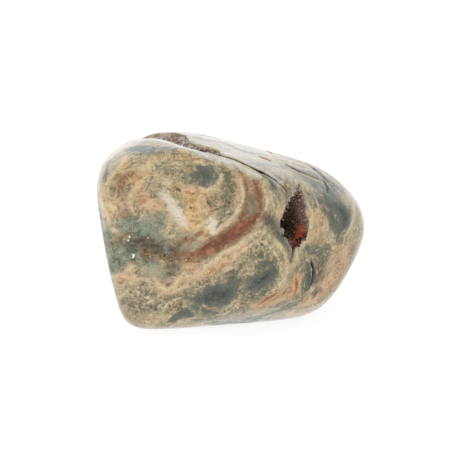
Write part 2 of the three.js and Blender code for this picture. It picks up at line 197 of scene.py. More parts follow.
# Marks on the side that the camera sees. A stroke is a row of places, each a pixel of the picture
# and a radius in pixels. Each kind of mark has a finish of its own.
SEEN_MARKS = {
    "slate": [
        [(197, 176.4, 5.4), (203, 175, 6.2), (209.4, 178, 6)], [(202, 170.6, 5), (210, 172.6, 5)],
        [(203, 183, 4.6)],
        [(190, 299, 2), (197, 300, 5), (206, 298, 9), (216, 296, 12), (225, 294, 10.5), (232, 289, 6)],
        [(233, 282, 2.5), (237, 290, 2)], [(170, 321, 2), (178, 316, 4.5), (186, 313, 6), (190, 314, 5)],
        [(249, 287, 4.5), (256, 284, 8.5), (264, 278, 8), (271, 272, 5)], [(261, 268, 4), (268, 263, 3)],
        [(130, 148.6, 4.4), (141, 148.4, 7.2), (152, 149.4, 5)],
        [(334, 205, 7.5), (342, 210, 9.5), (345, 219, 8), (341, 229, 6), (337, 237, 3)],
        [(308, 267, 2.6), (308, 277, 4.6), (307, 287, 3)],
        [(262, 316, 1.2), (272, 313, 2.2), (282, 309, 2.2), (290, 304, 1.6)],
        [(307, 248, 1.4), (313, 253, 1.4), (322, 252, 1)],
        [(318, 191, 2.5), (325, 196, 4.5), (329, 204, 6), (335, 208, 7)], [(331, 213, 5), (334, 224, 4.5)],
        [(313.5, 296, 0.7), (315.5, 292, 1.2), (318, 288, 0.7)],
        [(192, 305, 1.6), (202, 310, 2.2), (214, 312, 1.6)],
    ],
    "blue": [
        [(127, 149, 3), (137, 148.6, 5), (149, 149, 5)], [(158, 148, 3), (172, 150, 3)],
        [(304, 178, 4), (313, 184, 8), (324, 188, 9), (336, 194, 8), (326, 181, 6)],
        [(312, 196, 3), (322, 202, 3)], [(262, 173, 1.6), (269, 180, 1.8), (274, 188, 1.6), (278, 198, 1.4)],
        [(106, 172, 2.5), (108, 162, 2)],
        # The two strokes along the top are partly painted reflection: their blue-grey stands in part for the
        # sheen that the top takes at grazing angles
        [(196, 137, 3), (206, 140, 4), (226, 144, 4.5), (242, 151, 5), (258, 154, 3), (276, 156, 2.5),
         (300, 162, 3), (318, 170, 4)],
        [(250, 163, 2), (268, 165, 2.5), (288, 168, 2), (308, 172, 3.5), (328, 180, 6), (342, 190, 6)],
        [(279, 237, 0.2), (285, 243, 0.5)], [(304, 200, 2.5), (309, 208, 2)],
    ],
    "red": [
        [(236, 168, 0.8), (241, 174, 1.3), (245, 181, 1.8), (247, 190, 2.2), (247, 199, 1.6), (245, 208, 2),
         (242, 218, 4)],
        [(256, 184, 3.2), (258, 192, 3.6), (261, 203, 3.4), (259, 212, 3.5), (252, 220, 5), (243, 227, 7),
         (232, 235, 8), (222, 241, 8.5), (212, 247, 8), (204, 251, 6), (196, 254, 4.5), (187, 256, 3.4),
         (178, 257, 2.5)], [(182, 243, 0.8), (192, 238.4, 1.5), (202, 232.5, 1.2)],
        [(117.4, 187, 0.8), (120.6, 181, 1.8), (125, 177.4, 2), (130, 174.6, 1.6), (135, 173.2, 0.8)],
        [(145.5, 246.4, 0.7), (143.6, 250, 0.6), (147, 252, 1.1)], [(142.4, 255, 0.7), (147.6, 256.4, 0.6)],
    ],
    "brown": [
        [(116, 190, 3), (121, 184, 5), (125, 190, 4.5), (121, 196, 4)],
        [(117, 186, 4), (120, 180, 5), (125, 176.6, 4.6), (131, 174, 3.6), (138, 172.6, 2.2),
         (148, 172.4, 1)], [(140, 243, 5), (150, 246, 6), (162, 249, 6), (172, 256, 6)],
        [(122, 210, 2.4), (136, 211, 2)], [(248, 196, 6), (252, 206, 6), (246, 216, 5)],
        [(170, 250, 6), (176, 244, 5), (186, 240, 3)],
        [(150, 255, 5), (162, 255, 6), (173, 256, 5), (182, 262, 3)],
        # The first stroke here is a painted shadow: brown shade on the right of the slit
        [(317, 264, 3), (322, 272, 6), (317, 282, 4)], [(112, 243, 4), (120, 240, 4), (127, 237, 3)],
        [(166, 280, 3), (168, 285, 2.5)],
        [(259, 304.6, 1.2), (268, 300.6, 1.8), (280, 295.6, 1.8), (290, 291, 1.6)],
        [(300, 186, 2), (303, 192, 2)],
    ],
    "green": [
        [(106, 236, 6), (110, 250, 9), (120, 260, 10), (112, 268, 6)],
        [(104, 226, 3), (109, 234, 4), (114, 242, 6), (120, 248, 7)],
        [(124, 226, 7), (134, 224, 7), (146, 227, 7), (154, 230, 6), (160, 222, 4), (162, 215, 2)],
        [(132, 234, 8), (146, 236, 8), (158, 240, 7), (166, 246, 4)],
        [(128, 250, 9), (142, 256, 8), (154, 262, 6)],
    ],
    "clear": [
        [(250, 198, 2.5), (251, 205, 3.5), (248, 212, 3)],
        [(265, 218, 3.6), (272, 223, 5.6), (277, 230, 5.6), (284, 241, 3.4), (289, 250, 2.6), (291, 260, 2)],
        [(130, 246, 5), (141, 243, 7), (153, 246, 7), (165, 250, 6), (176, 252, 5), (180, 246, 3)],
        [(168, 266, 3), (178, 268, 2.5), (166, 275, 2.5)], [(296, 187, 2), (300, 192, 2)],
    ],
    "mist": [
        [(144, 268, 3), (152, 272, 5), (162, 276, 4)], [(153, 232, 3), (158, 237, 4)],
        [(184, 250, 3.5), (190, 247, 5), (198, 244, 3.5)], [(166, 248, 2.5), (168, 253, 2)],
        [(248.5, 200, 3), (250, 208, 3.4), (250, 213, 2)], [(180, 238, 3), (188, 235, 2)],
        [(122, 232, 2.5), (126, 226, 2)], [(123, 196, 1), (125.6, 204, 1.2), (125.4, 212, 0.8)],
        [(146, 217.6, 2), (152, 218.4, 2.6)], [(282, 231, 3)], [(291, 248, 1), (290.6, 256, 1)],
        # The last stroke, along the top, is partly painted reflection: a grey wash that stands in part for
        # the sheen at grazing angles
        [(200, 139, 2.2), (236, 150, 3.6), (262, 158, 4), (286, 165, 3), (306, 172, 2), (324, 180, 1.4)],
    ],
    # Painted sheen: whitish strokes along the crest of the front lip, on the top, on the crevice's far rim
    # and down the left rim, where the polish would shine white at grazing angles
    "pale": [
        [(118, 151, 1), (132, 142, 1.4), (150, 138.5, 1.8), (170, 141.5, 2.4), (190, 149, 2.6),
         (204, 154, 3.2), (218, 158, 4), (232, 162.5, 3.8), (246, 169, 2.8), (258, 175, 2)],
        [(198, 145, 1.5), (210, 149, 2.5), (222, 152.5, 3), (234, 156.5, 3), (246, 161.5, 3),
         (258, 167.5, 2.6), (270, 174.5, 2.4), (280, 183, 2)],
        [(99, 186, 1), (101, 202, 1.6), (103, 216, 1.3), (104, 230, 0.5)],
        [(276, 161.5, 0.9), (288, 163.5, 1.5), (300, 168, 1.7), (311, 170.5, 1.5), (322, 177, 1)],
        [(300, 156.5, 0.2), (318, 165, 0.3), (334, 176, 0.2)],
        [(144, 136, 2), (152, 134.4, 2.4), (161, 132.8, 2)],
    ],
    "peach": [
        [(101, 192, 4), (103, 203, 5), (107, 214, 5), (112, 204, 4)],
        [(117, 199, 4), (126, 204, 5), (122, 214, 4)],
        [(136, 184, 6), (140, 193, 7), (148, 203, 7), (160, 206, 4)],
        [(178, 190, 3), (200, 192, 5), (212, 198, 3)], [(184, 266, 4), (192, 267, 5), (197, 271, 3)],
        [(190, 280, 3.5), (203, 275, 4), (214, 268, 4.5), (224, 261, 5), (234, 255, 5), (243, 246, 4)],
        [(186, 272, 2), (176, 283, 3), (168, 290, 3.5), (158, 287, 3)], [(148, 321, 3), (158, 320, 3)],
        [(172, 309, 1.6), (176, 304, 1.6)],
        [(257, 306, 5), (267, 302, 5.4), (280, 297, 6), (291, 291, 6.6), (297, 283, 5.6), (298, 276, 4)],
        [(312, 213, 5), (319, 222, 6), (315, 233, 5), (308, 242, 3)],
        [(346, 246, 5), (342, 262, 7), (334, 276, 8), (323, 289, 8), (309, 301, 7)],
        [(336, 249, 4), (331, 262, 4)], [(290, 314, 3), (300, 314, 4)],
        [(130, 268, 5), (120, 274, 4), (133, 278, 4)], [(212, 214, 4), (220, 200, 2.5)],
        [(238, 180, 3), (238, 192, 3.5), (236, 204, 3.5)], [(115, 231, 3)],
    ],
    "ochre": [
        [(259, 156, 2), (263, 157.2, 4), (267, 158.8, 4), (272, 161, 2)],
        [(257, 306, 1.4), (266, 302, 2), (278, 297, 2.2), (290, 291, 2.2), (297, 283, 2), (297, 276, 1.4)],
        [(186, 196, 5), (194, 203, 7), (190, 213, 8), (196, 224, 7), (182, 226, 4)],
        [(170, 157, 1.6), (186, 158, 2), (202, 161, 2)], [(126, 158, 3.5), (123, 167, 3.5), (121, 176, 3)],
        [(118, 186, 4), (124, 178, 5), (134, 174, 5), (146, 173, 4)], [(150, 160, 2), (160, 156, 1.6)],
        [(204, 232, 5), (204, 240, 3)], [(206, 212, 4), (202, 188, 3)],
    ],
    "cream": [
        [(222, 174, 1), (220, 182, 1.5), (214, 188.5, 1.6), (206, 190.5, 1.4), (199, 187, 1)],
        [(125, 157, 1.6), (121, 165, 1.5), (115, 173, 0.9), (107, 184, 0.6)],
        [(126, 170, 0.3), (133, 167.6, 0.8), (142, 166.8, 1.1), (151, 165, 0.8)],
        [(240, 180, 1.2), (243, 192, 1.6), (241, 205, 1.8), (234, 216, 2), (224, 226, 2.2), (214, 233, 1.8)],
        [(265, 190, 1.6), (267, 200, 1.8), (266, 208, 1.4)],
        [(227, 252, 1.2), (239, 244, 1.4), (250, 236, 1.4), (262, 232, 1.4), (273, 239, 1.4),
         (282, 249, 1.4), (287, 262, 1.3), (285.5, 276, 1.1), (278, 286, 1), (266, 294, 0.8)],
        [(233, 258, 0.8), (244, 250, 1), (254, 243, 1), (263, 241, 1), (271, 248, 1), (278, 258, 1),
         (281, 268, 0.9), (278, 279, 0.8)],
        [(353, 204, 1.2), (353.7, 216, 1.3), (350, 227, 1.2), (344, 238, 1)],
        [(239, 299, 0.3), (235, 306, 1), (226, 313, 0.9), (212, 316, 0.8)],
        [(222, 311, 0.7), (230, 306.5, 1.1), (235, 305.5, 1.4), (240, 309, 0.8)],
        [(305, 199, 1.4), (311, 212, 1.8), (311, 226, 2), (306, 240, 2), (299, 250, 1.8), (294, 266, 1.4)],
        [(311, 190, 0.8), (317, 203, 1), (320, 214, 1)], [(288, 203, 1.6), (283, 211, 1.6), (277, 211, 1.2)],
        [(270, 192, 0.7), (274, 205, 1)], [(176, 163, 0.8), (186, 160, 1), (196, 162, 1), (206, 164, 0.9)],
        [(178, 280, 1.2), (184, 275, 1.5), (191, 276, 1.3), (198, 273, 2), (205, 267, 2.6), (213, 261, 2.8),
         (222, 255, 2.6), (232, 249, 2.2), (243, 243, 1.8), (252, 237, 1.4)],
        [(154, 278, 1.3), (160, 286, 1.8), (168, 290, 2), (174, 286, 1.7), (178, 280, 1.4)],
        [(150, 302, 0.7), (160, 294, 0.9), (170, 293, 0.9), (182, 288, 0.9), (196, 283, 0.8)],
        [(118, 300, 0.7), (128, 292, 0.9), (138, 293, 0.9), (147, 298, 0.7)],
        [(130, 284, 0.9), (140, 279, 1), (150, 281, 0.9)], [(126, 272, 1.6), (132, 266, 1.6)],
        [(163, 311, 0.8), (170, 302, 0.9), (180, 298, 0.9)], [(196, 228, 1), (206, 222, 1.2), (215, 214, 1)],
        [(323, 240, 0.7), (330, 243, 0.8), (334, 250, 0.7)],
        [(180, 324, 0.7), (192, 318, 0.8), (206, 318, 0.7)],
        [(144, 320.5, 0.7), (152, 321.5, 0.9), (160, 320, 0.6)], [(208, 228, 2), (214, 224, 2)],
        [(108, 204, 2.4), (114, 208, 2.8)], [(131, 208, 1.8), (133, 211, 1.5)], [(114, 230, 2.4)],
        [(102, 200, 1), (106, 212, 1.6), (110, 222, 1.2)],
    ],
    "rust": [
        [(256, 305.6, 0.4), (262, 302.6, 0.8), (266, 299.5, 1.1), (271, 296.3, 1.2), (277, 292.8, 0.6)],
        [(295.8, 278, 0.8), (296.8, 284, 1.8), (296, 289, 1.1), (294.6, 294.5, 0.6)],
        [(297, 316.4, 0.7), (304.6, 312.6, 0.9)], [(262, 156.8, 0.2), (265, 158.4, 0.3), (269, 160, 0.2)],
        [(334, 182, 1), (339, 185, 1)], [(152, 258.6, 0.5)], [(156, 260, 0.3)], [(163, 262.6, 0.5)],
        [(167, 258, 0.5), (168, 260, 0.4)], [(171, 262, 0.7)], [(175, 258.4, 0.4)],
        [(188, 261.6, 0.6), (190, 259.6, 0.5)], [(195.6, 262, 0.5)], [(213, 250, 0.4)], [(208, 252, 0.3)],
        [(281.5, 185, 0.3), (285, 188.6, 0.4)],
    ],
    "dark": [
        [(152.3, 167, 0.25), (152.7, 172, 0.5), (152.2, 177.5, 0.6)],
        [(151.5, 178.5, 0.3), (148.3, 186.5, 0.35), (144.5, 192, 0.25)],
        [(122.2, 169.4, 0.5), (131, 167.6, 0.3), (142, 166.2, 0.3)],
        [(136.5, 142.4, 0.4), (146, 142.8, 0.7), (156.5, 142.6, 0.4)],
        [(207.5, 202, 0.9), (210.5, 205.4, 1)], [(232, 163.6, 0.15), (237, 168, 0.3), (242, 175, 0.4)],
        [(177, 189, 1.6), (179.4, 190.4, 1.4)], [(193.4, 193.6, 1)], [(190.6, 207.4, 0.9)],
        [(140.7, 154.3, 0.9)], [(175, 160.4, 0.5), (193, 160.4, 0.3), (201, 158.5, 0.3), (214, 162.6, 0.5)],
        [(141, 284.6, 0.5), (147, 285.4, 0.4), (153, 284.8, 0.3)], [(263.4, 278.7, 0.9), (267, 275.4, 0.4)],
        [(315.6, 294.8, 0.5), (317, 291.6, 0.5)], [(267.6, 151, 0.8), (271, 152.6, 1.4), (274.6, 154, 0.9)],
        [(177.6, 309.4, 0.9), (181, 306.8, 0.4)],
        # The strokes from here to the one at (327, 190) follow the slit and the cracks on top: partly the
        # cracks' own dark lines, partly painted shade that darkens them beyond what their cuts give
        [(311, 259, 0.7), (313, 266, 1.6), (314.4, 274, 2.2), (312, 283, 1.8), (308.5, 290, 1)],
        [(316, 265, 0.4), (318.6, 272, 0.4), (316, 280, 0.3)],
        [(309.6, 270, 0.8), (309.4, 278, 1), (307.4, 285, 0.7)],
        [(331, 177, 0.6), (336, 181, 1), (341, 186, 0.6)],
        [(292, 167, 0.4), (298, 170.6, 1.4), (304, 173.4, 0.9), (313, 177.4, 0.4), (323, 181.4, 0.5)],
        [(312, 168, 0.3), (319, 174, 0.5), (325, 182, 0.9), (329, 188, 0.7), (334, 192, 0.4)],
        [(326, 184, 0.5), (327, 190, 0.4)], [(163, 259, 0.9), (166, 262, 0.5)],
        [(168, 257, 0.8), (171, 260, 0.6)], [(174, 260, 0.7)], [(155, 254, 0.6), (158, 252, 0.5)],
        [(190, 306, 0.3), (178, 304.4, 0.4), (168, 312.6, 0.5)], [(133, 259, 0.9), (135, 261, 0.6)],
        [(221.5, 212, 0.25), (220, 223, 0.25)], [(225.6, 204, 0.25), (224, 216, 0.25)],
        [(229.6, 200, 0.25), (229, 208, 0.25)], [(160, 256, 0.5)], [(170, 256, 0.4), (173, 262.6, 0.5)],
        [(166, 261, 0.4)], [(330, 250, 0.4), (324, 262, 0.5), (318, 268, 0.4)],
        [(271, 185, 0.3), (276, 194, 0.4)],
    ],
    # The white patches on the front are partly whitish stone and partly a painted highlight, where a soft
    # lamp would shine on the polish
    "white": [
        [(159, 193, 1.6), (166, 196, 4), (171, 203, 4.5), (176, 212, 5), (182, 221, 4), (186, 226, 2)],
        [(170, 203, 2.5), (176, 203, 2)], [(213, 220, 3), (212.5, 227, 4), (212, 231, 3)],
    ],
    "mottled": [
        [(158, 168, 3), (170, 172, 3.6), (184, 176, 3.4)],
        [(224, 172, 5), (229, 182, 7), (229, 194, 7), (222, 203, 7), (214, 200, 5), (222, 213, 4)],
        [(132, 303, 9), (148, 298, 11), (165, 304, 10), (184, 298, 6)],
        [(196, 320, 4), (215, 314, 5), (240, 309, 6), (250, 314, 4)],
        [(252, 250, 9), (264, 250, 9), (274, 262, 7), (264, 292, 8), (246, 298, 8)],
        [(240, 276, 5), (236, 296, 5)], [(310, 250, 6), (322, 252, 7), (330, 254, 5), (321, 264, 5)],
        [(314, 196, 5), (318, 206, 5), (324, 200, 6)], [(357, 210, 4), (358, 230, 4), (352, 250, 3)],
        [(105, 178, 4), (108, 164, 4)], [(196, 287, 4), (208, 281, 4), (220, 274, 4)],
        [(284, 182, 5), (286, 196, 4), (276, 176, 4)], [(294, 305, 4), (300, 298, 4)],
        [(150, 154, 4), (170, 153, 4), (190, 158, 3)], [(150, 194, 3), (156, 196, 3)],
        [(302, 262, 4), (298, 274, 3)],
    ],
    "olive": [
        [(222, 170, 5), (229, 178, 7), (231, 188, 7), (228, 198, 8), (219, 204, 8), (210, 200, 6),
         (216, 212, 5)],
        [(120, 301, 1), (130, 306, 3), (144, 309, 3), (158, 308, 3.4), (170, 301, 3.6), (182, 296, 3)],
        [(196, 318, 3), (210, 318, 3), (226, 316, 3)], [(144, 290, 2.5), (156, 298, 2.5)],
        [(148, 284.6, 1.6)], [(186, 291, 2.5), (196, 285, 2.5), (208, 279, 2)],
        [(230, 274, 4), (236, 282, 4.5), (240, 292, 3)],
        [(192, 306, 3), (204, 312, 4), (220, 313, 3), (236, 311, 3)],
        [(246, 262, 4.4), (253, 259, 4), (263, 259, 3.6), (270, 264, 4.6), (276, 272, 4)],
        [(243, 292, 3), (254, 296, 4), (266, 291, 3)],
        [(308, 248, 3), (316, 252, 4), (326, 250, 4), (324, 260, 4), (316, 262, 3)],
        [(312, 194, 3), (318, 202, 4), (324, 210, 3)],
        [(260, 316, 2), (274, 313, 2.6), (288, 307, 2.6), (300, 300, 2)], [(298, 297, 3), (304, 293, 3)],
        [(182, 304, 2), (174, 308, 1.5)], [(152, 195, 3)], [(178, 189, 2.5)], [(206, 203, 2.5)],
        [(106, 176, 3), (110, 168, 2.5)], [(136, 142.4, 1.2), (150, 142.4, 1.6)],
        [(316, 272, 4), (312, 284, 3)],
    ],
    "crumbs": [
        [(143, 246, 2.4), (147, 251, 3.6), (144, 256, 2.4), (153, 258, 2.6)],
        [(162, 256, 3), (168, 257, 4.6), (174, 258, 3.6)], [(187, 260, 2.4), (192, 260, 2.6), (197, 261, 2)],
        [(131, 231, 1.8), (125, 236, 1.4)], [(134, 224, 1.4), (138, 223, 1.2)], [(134, 258, 2.2)],
    ],
    # Painted glints: pure white dots where small crystals in and around the green zone catch the light
    "spark": [
        [(129.4, 235.5, 0.9), (128.6, 238.6, 0.8), (128, 242, 0.7), (127.4, 245, 0.4)],
        [(146.6, 237.3, 0.7), (148, 238.6, 0.5)],
        [(132.4, 252.5, 0.5), (133.2, 254.6, 1.1), (132.6, 257.6, 0.7)], [(149.6, 257.4, 0.6)],
        [(167, 246.5, 0.4)], [(185.6, 260.3, 0.5)], [(116.8, 189.5, 0.5)], [(142, 263, 0.5)],
        [(138.6, 265, 0.4)], [(164, 261.8, 0.4)], [(171, 259.4, 0.3)], [(176.4, 257.6, 0.4)],
        [(223.4, 244, 0.4)],
    ],
}

# Lines that the fine banding follows, on the side that the camera sees, in pixels
SEEN_RAILS = [
    [(104, 262), (130, 262), (160, 264), (182, 264), (200, 255), (217, 247), (235, 234), (249, 223),
     (259, 213), (261, 203), (257, 190), (249, 177), (238, 167), (222, 160)],
    [(222, 302), (240, 292), (256, 284), (266, 268)],
    [(300, 184), (299, 200), (294, 225), (292, 246), (290, 266), (284, 287), (262, 303)],
    [(343, 186), (353, 202), (357, 224), (351, 250), (336, 280), (311, 304), (282, 318)],
    [(112, 190), (121, 177), (139, 171), (152, 171), (200, 178)],
]

# Marks on the sides that the camera doesn't see: azimuth and elevation in degrees, radius in millimetres
FAR_MARKS = {
    "slate": [
        [(150, 20, 1.6), (165, 14, 2.2), (178, 16, 1.6)],
        [(-160, -18, 1.4), (-150, -8, 2.0), (-138, -4, 1.5)],
        [(-100, 5, 1.2), (-92, -4, 1.9), (-84, -12, 1.2)],
        [(118, -12, 1.3), (128, -22, 1.8), (140, -26, 1.2)],
        [(-30, -60, 1.6), (-5, -66, 2.0), (25, -62, 1.3)], [(-120, -52, 1.5), (-140, -58, 1.9)],
        [(110, -55, 1.2), (135, -60, 1.6)], [(-170, 48, 0.9), (-160, 55, 1.3), (-145, 58, 0.9)],
        [(120, 5, 0.8), (112, 14, 1.2), (108, 22, 0.9)], [(170, -45, 1.2), (-175, -50, 1.4)],
    ],
    "blue": [
        [(-125, 28, 0.7), (-135, 22, 1.0), (-148, 22, 0.8)],
        [(125, 45, 0.9), (135, 38, 1.2), (142, 30, 0.8)], [(60, -30, 0.8), (75, -34, 1.1), (88, -30, 0.8)],
        [(-60, -48, 0.9), (-80, -52, 1.2)],
    ],
    "red": [
        [(-88, 22, 0.4), (-98, 14, 0.7), (-110, 8, 0.9), (-124, 4, 1.0), (-138, 8, 0.8), (-150, 14, 0.5)],
        [(-76, -34, 0.4), (-95, -36, 0.7), (-115, -30, 0.9), (-135, -26, 0.8), (-155, -32, 0.5)],
        [(160, -6, 0.4), (172, -10, 0.7), (-175, -10, 0.8), (-164, -2, 0.5)],
        [(95, -8, 0.3), (104, -2, 0.5), (116, -2, 0.6), (128, 4, 0.5), (138, 2, 0.3)],
        [(30, -48, 0.4), (50, -54, 0.7), (75, -56, 0.6), (95, -50, 0.4)],
        [(150, 52, 0.4), (165, 46, 0.6), (178, 44, 0.5), (-172, 38, 0.3)],
    ],
    "green": [
        [(-150, 34, 1.4), (-165, 30, 1.9), (-178, 30, 1.5)],
        [(-10, -42, 1.4), (10, -48, 1.8), (20, -38, 1.2)], [(150, -38, 1.6), (160, -28, 1.4)],
    ],
    "clear": [
        [(-104, 22, 0.8), (-116, 16, 1.0), (-130, 14, 0.9)], [(155, 4, 0.9), (168, 1, 1.1), (180, 3, 0.8)],
        [(60, -45, 0.9), (78, -46, 0.8)], [(-100, -28, 0.8), (-120, -22, 0.9)],
    ],
    "peach": [
        [(-80, 6, 1.2), (-90, 10, 1.3), (-96, -2, 1.0)],
        [(-115, -8, 1.4), (-128, -12, 1.6), (-142, -14, 1.2)],
        [(132, 16, 1.3), (142, 6, 1.5), (150, -6, 1.2)], [(100, -22, 1.4), (112, -30, 1.4), (124, -36, 1.0)],
        [(-40, -50, 1.3), (-58, -58, 1.4), (-90, -60, 1.2)], [(180, -26, 1.5), (168, -24, 1.3)],
        [(-178, 22, 1.0), (172, 28, 1.3), (160, 34, 1.2)], [(70, -62, 1.4), (95, -66, 1.3)],
    ],
    "brown": [
        [(-104, -14, 0.8), (-118, -10, 1.0)], [(166, 12, 0.8), (158, 2, 1.0)],
        [(102, -16, 0.8), (110, -22, 0.9)], [(-20, -52, 0.9), (-36, -62, 1.0)],
        [(-150, 40, 0.8), (-160, 44, 0.9)],
    ],
    "ochre": [
        [(-92, 34, 0.9), (-104, 36, 1.0), (-114, 28, 0.8)],
        [(-172, -2, 1.0), (178, 4, 1.1), (170, -18, 0.9)], [(94, 2, 0.8), (98, -14, 1.0), (106, -34, 1.0)],
        [(-76, -22, 1.0), (-84, -40, 1.2)], [(120, -66, 1.2), (160, -62, 1.2)],
        [(140, 56, 0.8), (126, 54, 0.8)],
    ],
    "mist": [
        [(-146, 30, 0.6), (-154, 26, 0.7)], [(166, -32, 0.6), (156, -34, 0.5)], [(-6, -50, 0.6)],
        [(-110, 12, 0.5), (-122, 10, 0.6)],
    ],
    # Painted sheen on the top of the far side
    "pale": [
        [(-150, 62, 0.2), (170, 60, 0.35), (140, 58, 0.2)],
    ],
    "olive": [
        [(-90, -16, 0.8), (-104, -22, 1.0), (-118, -38, 1.0)], [(-148, -46, 1.0), (-166, -40, 0.8)],
        [(-166, 10, 0.8), (176, 6, 0.9), (166, -14, 0.9)], [(102, 12, 0.8), (116, 26, 0.9), (126, 34, 0.7)],
        [(86, -18, 0.8), (100, -30, 0.9), (116, -46, 1.0), (148, -58, 1.0)],
        [(0, -70, 1.0), (-60, -72, 1.0), (-140, -74, 1.0), (120, -76, 1.0)],
        [(-128, 56, 0.7), (-150, 46, 0.8), (178, 52, 0.8)],
    ],
    "cream": [
        [(-84, 28, 0.2), (-96, 28, 0.3), (-108, 30, 0.25), (-122, 36, 0.2)],
        [(88, -3, 0.15), (100, 5, 0.25), (114, 8, 0.25), (126, 14, 0.15)],
        [(-70, -26, 0.15), (-90, -28, 0.25), (-108, -16, 0.25), (-125, -18, 0.2), (-148, -22, 0.15)],
        [(-168, -10, 0.15), (-176, -18, 0.25), (172, -20, 0.2)],
        [(20, -55, 0.15), (45, -62, 0.25), (80, -62, 0.2)],
    ],
    "rust": [
        [(-118, -2, 0.06), (-126, -4, 0.12), (-133, -2, 0.06)],
        [(146, 12, 0.06), (150, 6, 0.12), (151, 0, 0.06)],
        [(104, -40, 0.06), (114, -42, 0.12), (122, -46, 0.06)], [(180, 36, 0.08), (-174, 32, 0.14)],
    ],
    "dark": [
        [(-95, 4, 0.04), (-101, 0, 0.09), (-104, -7, 0.05)],
        [(-158, 8, 0.05), (-164, 2, 0.1), (-167, -4, 0.05)], [(132, 24, 0.05), (138, 20, 0.1)],
        [(-132, -36, 0.05), (-142, -40, 0.1)], [(92, -42, 0.05), (98, -46, 0.09)],
        [(-85, -20, 0.16), (-86, -21, 0.12)], [(160, 24, 0.14), (161, 25, 0.14)],
    ],
    "crumbs": [
        [(-160, 32, 0.5), (-168, 28, 0.6)], [(160, -34, 0.5), (154, -38, 0.4)], [(2, -46, 0.5)],
        [(-112, 6, 0.3), (-126, 4, 0.4)],
    ],
    # Painted glints on the far side
    "spark": [
        [(-165, 31, 0.12)], [(-158, 34, 0.09), (-159, 33, 0.09)], [(8, -45, 0.12)], [(155, -35, 0.12)],
    ],
    "white": [
        [(-140, 16, 0.5), (-147, 10, 0.8), (-152, 2, 0.6)], [(122, -14, 0.4), (126, -8, 0.6)],
        [(-108, 44, 0.5), (-118, 46, 0.4)],
    ],
    "mottled": [
        [(-90, -16, 1.6), (-106, -20, 1.8), (-120, -40, 1.8), (-150, -44, 1.6)],
        [(-168, 12, 1.5), (175, 6, 1.6), (165, -16, 1.6)], [(100, 12, 1.4), (118, 26, 1.6), (124, 34, 1.2)],
        [(84, -18, 1.5), (100, -30, 1.5), (118, -46, 1.7), (150, -58, 1.7)],
        [(0, -70, 1.7), (-60, -72, 1.8), (-140, -74, 1.7), (120, -76, 1.6)],
        [(-128, 56, 1.2), (-150, 44, 1.3), (178, 52, 1.3), (150, 62, 1.2)],
    ],
}

# Lines that the fine banding follows on those sides, as azimuth and elevation
FAR_RAILS = [
    [(-84, 14), (-96, 18), (-112, 12), (-130, 10), (-150, 20), (-170, 28), (170, 34), (150, 44)],
    [(-70, -30), (-92, -32), (-115, -28), (-138, -24), (-160, -28), (175, -20), (160, -6), (140, 6),
     (120, 16)], [(84, -10), (100, -4), (116, -4), (130, -14), (150, -30), (175, -40)],
    [(-30, -52), (0, -58), (35, -60), (70, -56), (100, -52), (130, -60)],
    [(-60, -66), (-110, -62), (-150, -66), (160, -74)],
    [(-140, 40), (-125, 55), (-100, 72), (-20, 80), (60, 78), (110, 66)],
]

# Orbs on those sides: azimuth, elevation and radius in millimetres. An orb has a slate core and rings
# about it, each at a share of its radius with a share as half width, and sways by two shares.
FAR_ORBS = [
    (-118, 20, 2.0), (150, -16, 2.4), (-152, -30, 1.7), (172, 22, 1.5), (108, -8, 1.6), (30, -72, 2.1),
    (-98, -48, 1.6),
]
ORB_CORE = 0.45
ORB_RINGS = {"clear": (0.62, 0.13), "cream": (0.84, 0.1), "red": (1.05, 0.07), "peach": (1.25, 0.1)}
ORB_POINTS = 14
ORB_SWAY = (0.16, 0.1)

# Pits in the polish, as pixels of the picture
PITS = [(153.2, 147.8), (190.6, 207.6), (315.8, 294.6), (263.5, 278.7), (141, 154.2)]
PIT_RADIUS = 0.2
PIT_DEPTH = 0.3
PIT_SHADE = 2

# Chips in the polish on top, orange and dark inside, as pixels and radii in millimetres
CHIPS = [
    (261.5, 157.2, 0.45), (264.5, 158.4, 0.7), (268.5, 160, 0.5), (269, 151.8, 0.4), (272.5, 153.2, 0.4),
    (287.5, 164.6, 0.35), (297.5, 158.4, 0.35),
]
CHIP_DEPTH = 0.26
CHIP_WALL = 0.2

# Knobs of grey chalcedony that fill the left of the pocket, as pixels and radii in millimetres, how
# much of the depth they fill, how steep they are within a reach of their edges, and how far from the
# first one the crystals begin
KNOBS = [(283.8, 231, 0.86), (279.5, 230, 0.75), (281, 234.5, 0.74), (285.4, 234, 0.5)]
KNOB_FILL = 0.93
KNOB_STEEPNESS = 7
KNOB_REACH = 2
KNOB_CLEARING = 1.5

# The samples along a stroke: their spacing as a share of its radius, within limits, and their number
# and radius at the least. Distances are kept up to the farthest, and measured in batches.
SPACING_SHARE = 0.6
LEAST_SPACING = 0.08
MOST_SPACING = 0.35
LEAST_SAMPLES = 4
LEAST_RADIUS = 0.02
RAIL_RADIUS = 0.5
FARTHEST = 2.5
BATCH = 2000


def stroke_samples(places, radii):
    """Places close together along a stroke over the skin, each with its radius."""
    rows = np.column_stack([places, radii])
    if len(rows) == 1:
        return rows
    length = np.linalg.norm(np.diff(places, axis=0), axis=1).sum()
    spacing = min(max(LEAST_SPACING, SPACING_SHARE * float(np.median(radii))), MOST_SPACING)
    samples = smooth_path(rows, max(LEAST_SAMPLES, int(length / spacing) + 2))
    direction = unit(samples[:, :3])
    return np.column_stack([direction * reach(direction)[:, None], np.maximum(samples[:, 3], LEAST_RADIUS)])


def ring(azimuth, elevation, radius):
    """Places in a wavy circle on the skin about a direction."""
    centre = skin_at(azimuth, elevation)
    out = towards(azimuth, elevation)
    side = unit(np.cross(out, (0, 0, 1.0)))
    rise = np.cross(side, out)
    turns = np.linspace(0, 2 * math.pi, ORB_POINTS)
    twofold, threefold = ORB_SWAY
    sway = 1 + twofold * np.sin(2 * turns + azimuth) + threefold * np.sin(3 * turns + elevation)
    return centre + radius * sway[:, None] * (np.cos(turns)[:, None] * side + np.sin(turns)[:, None] * rise)


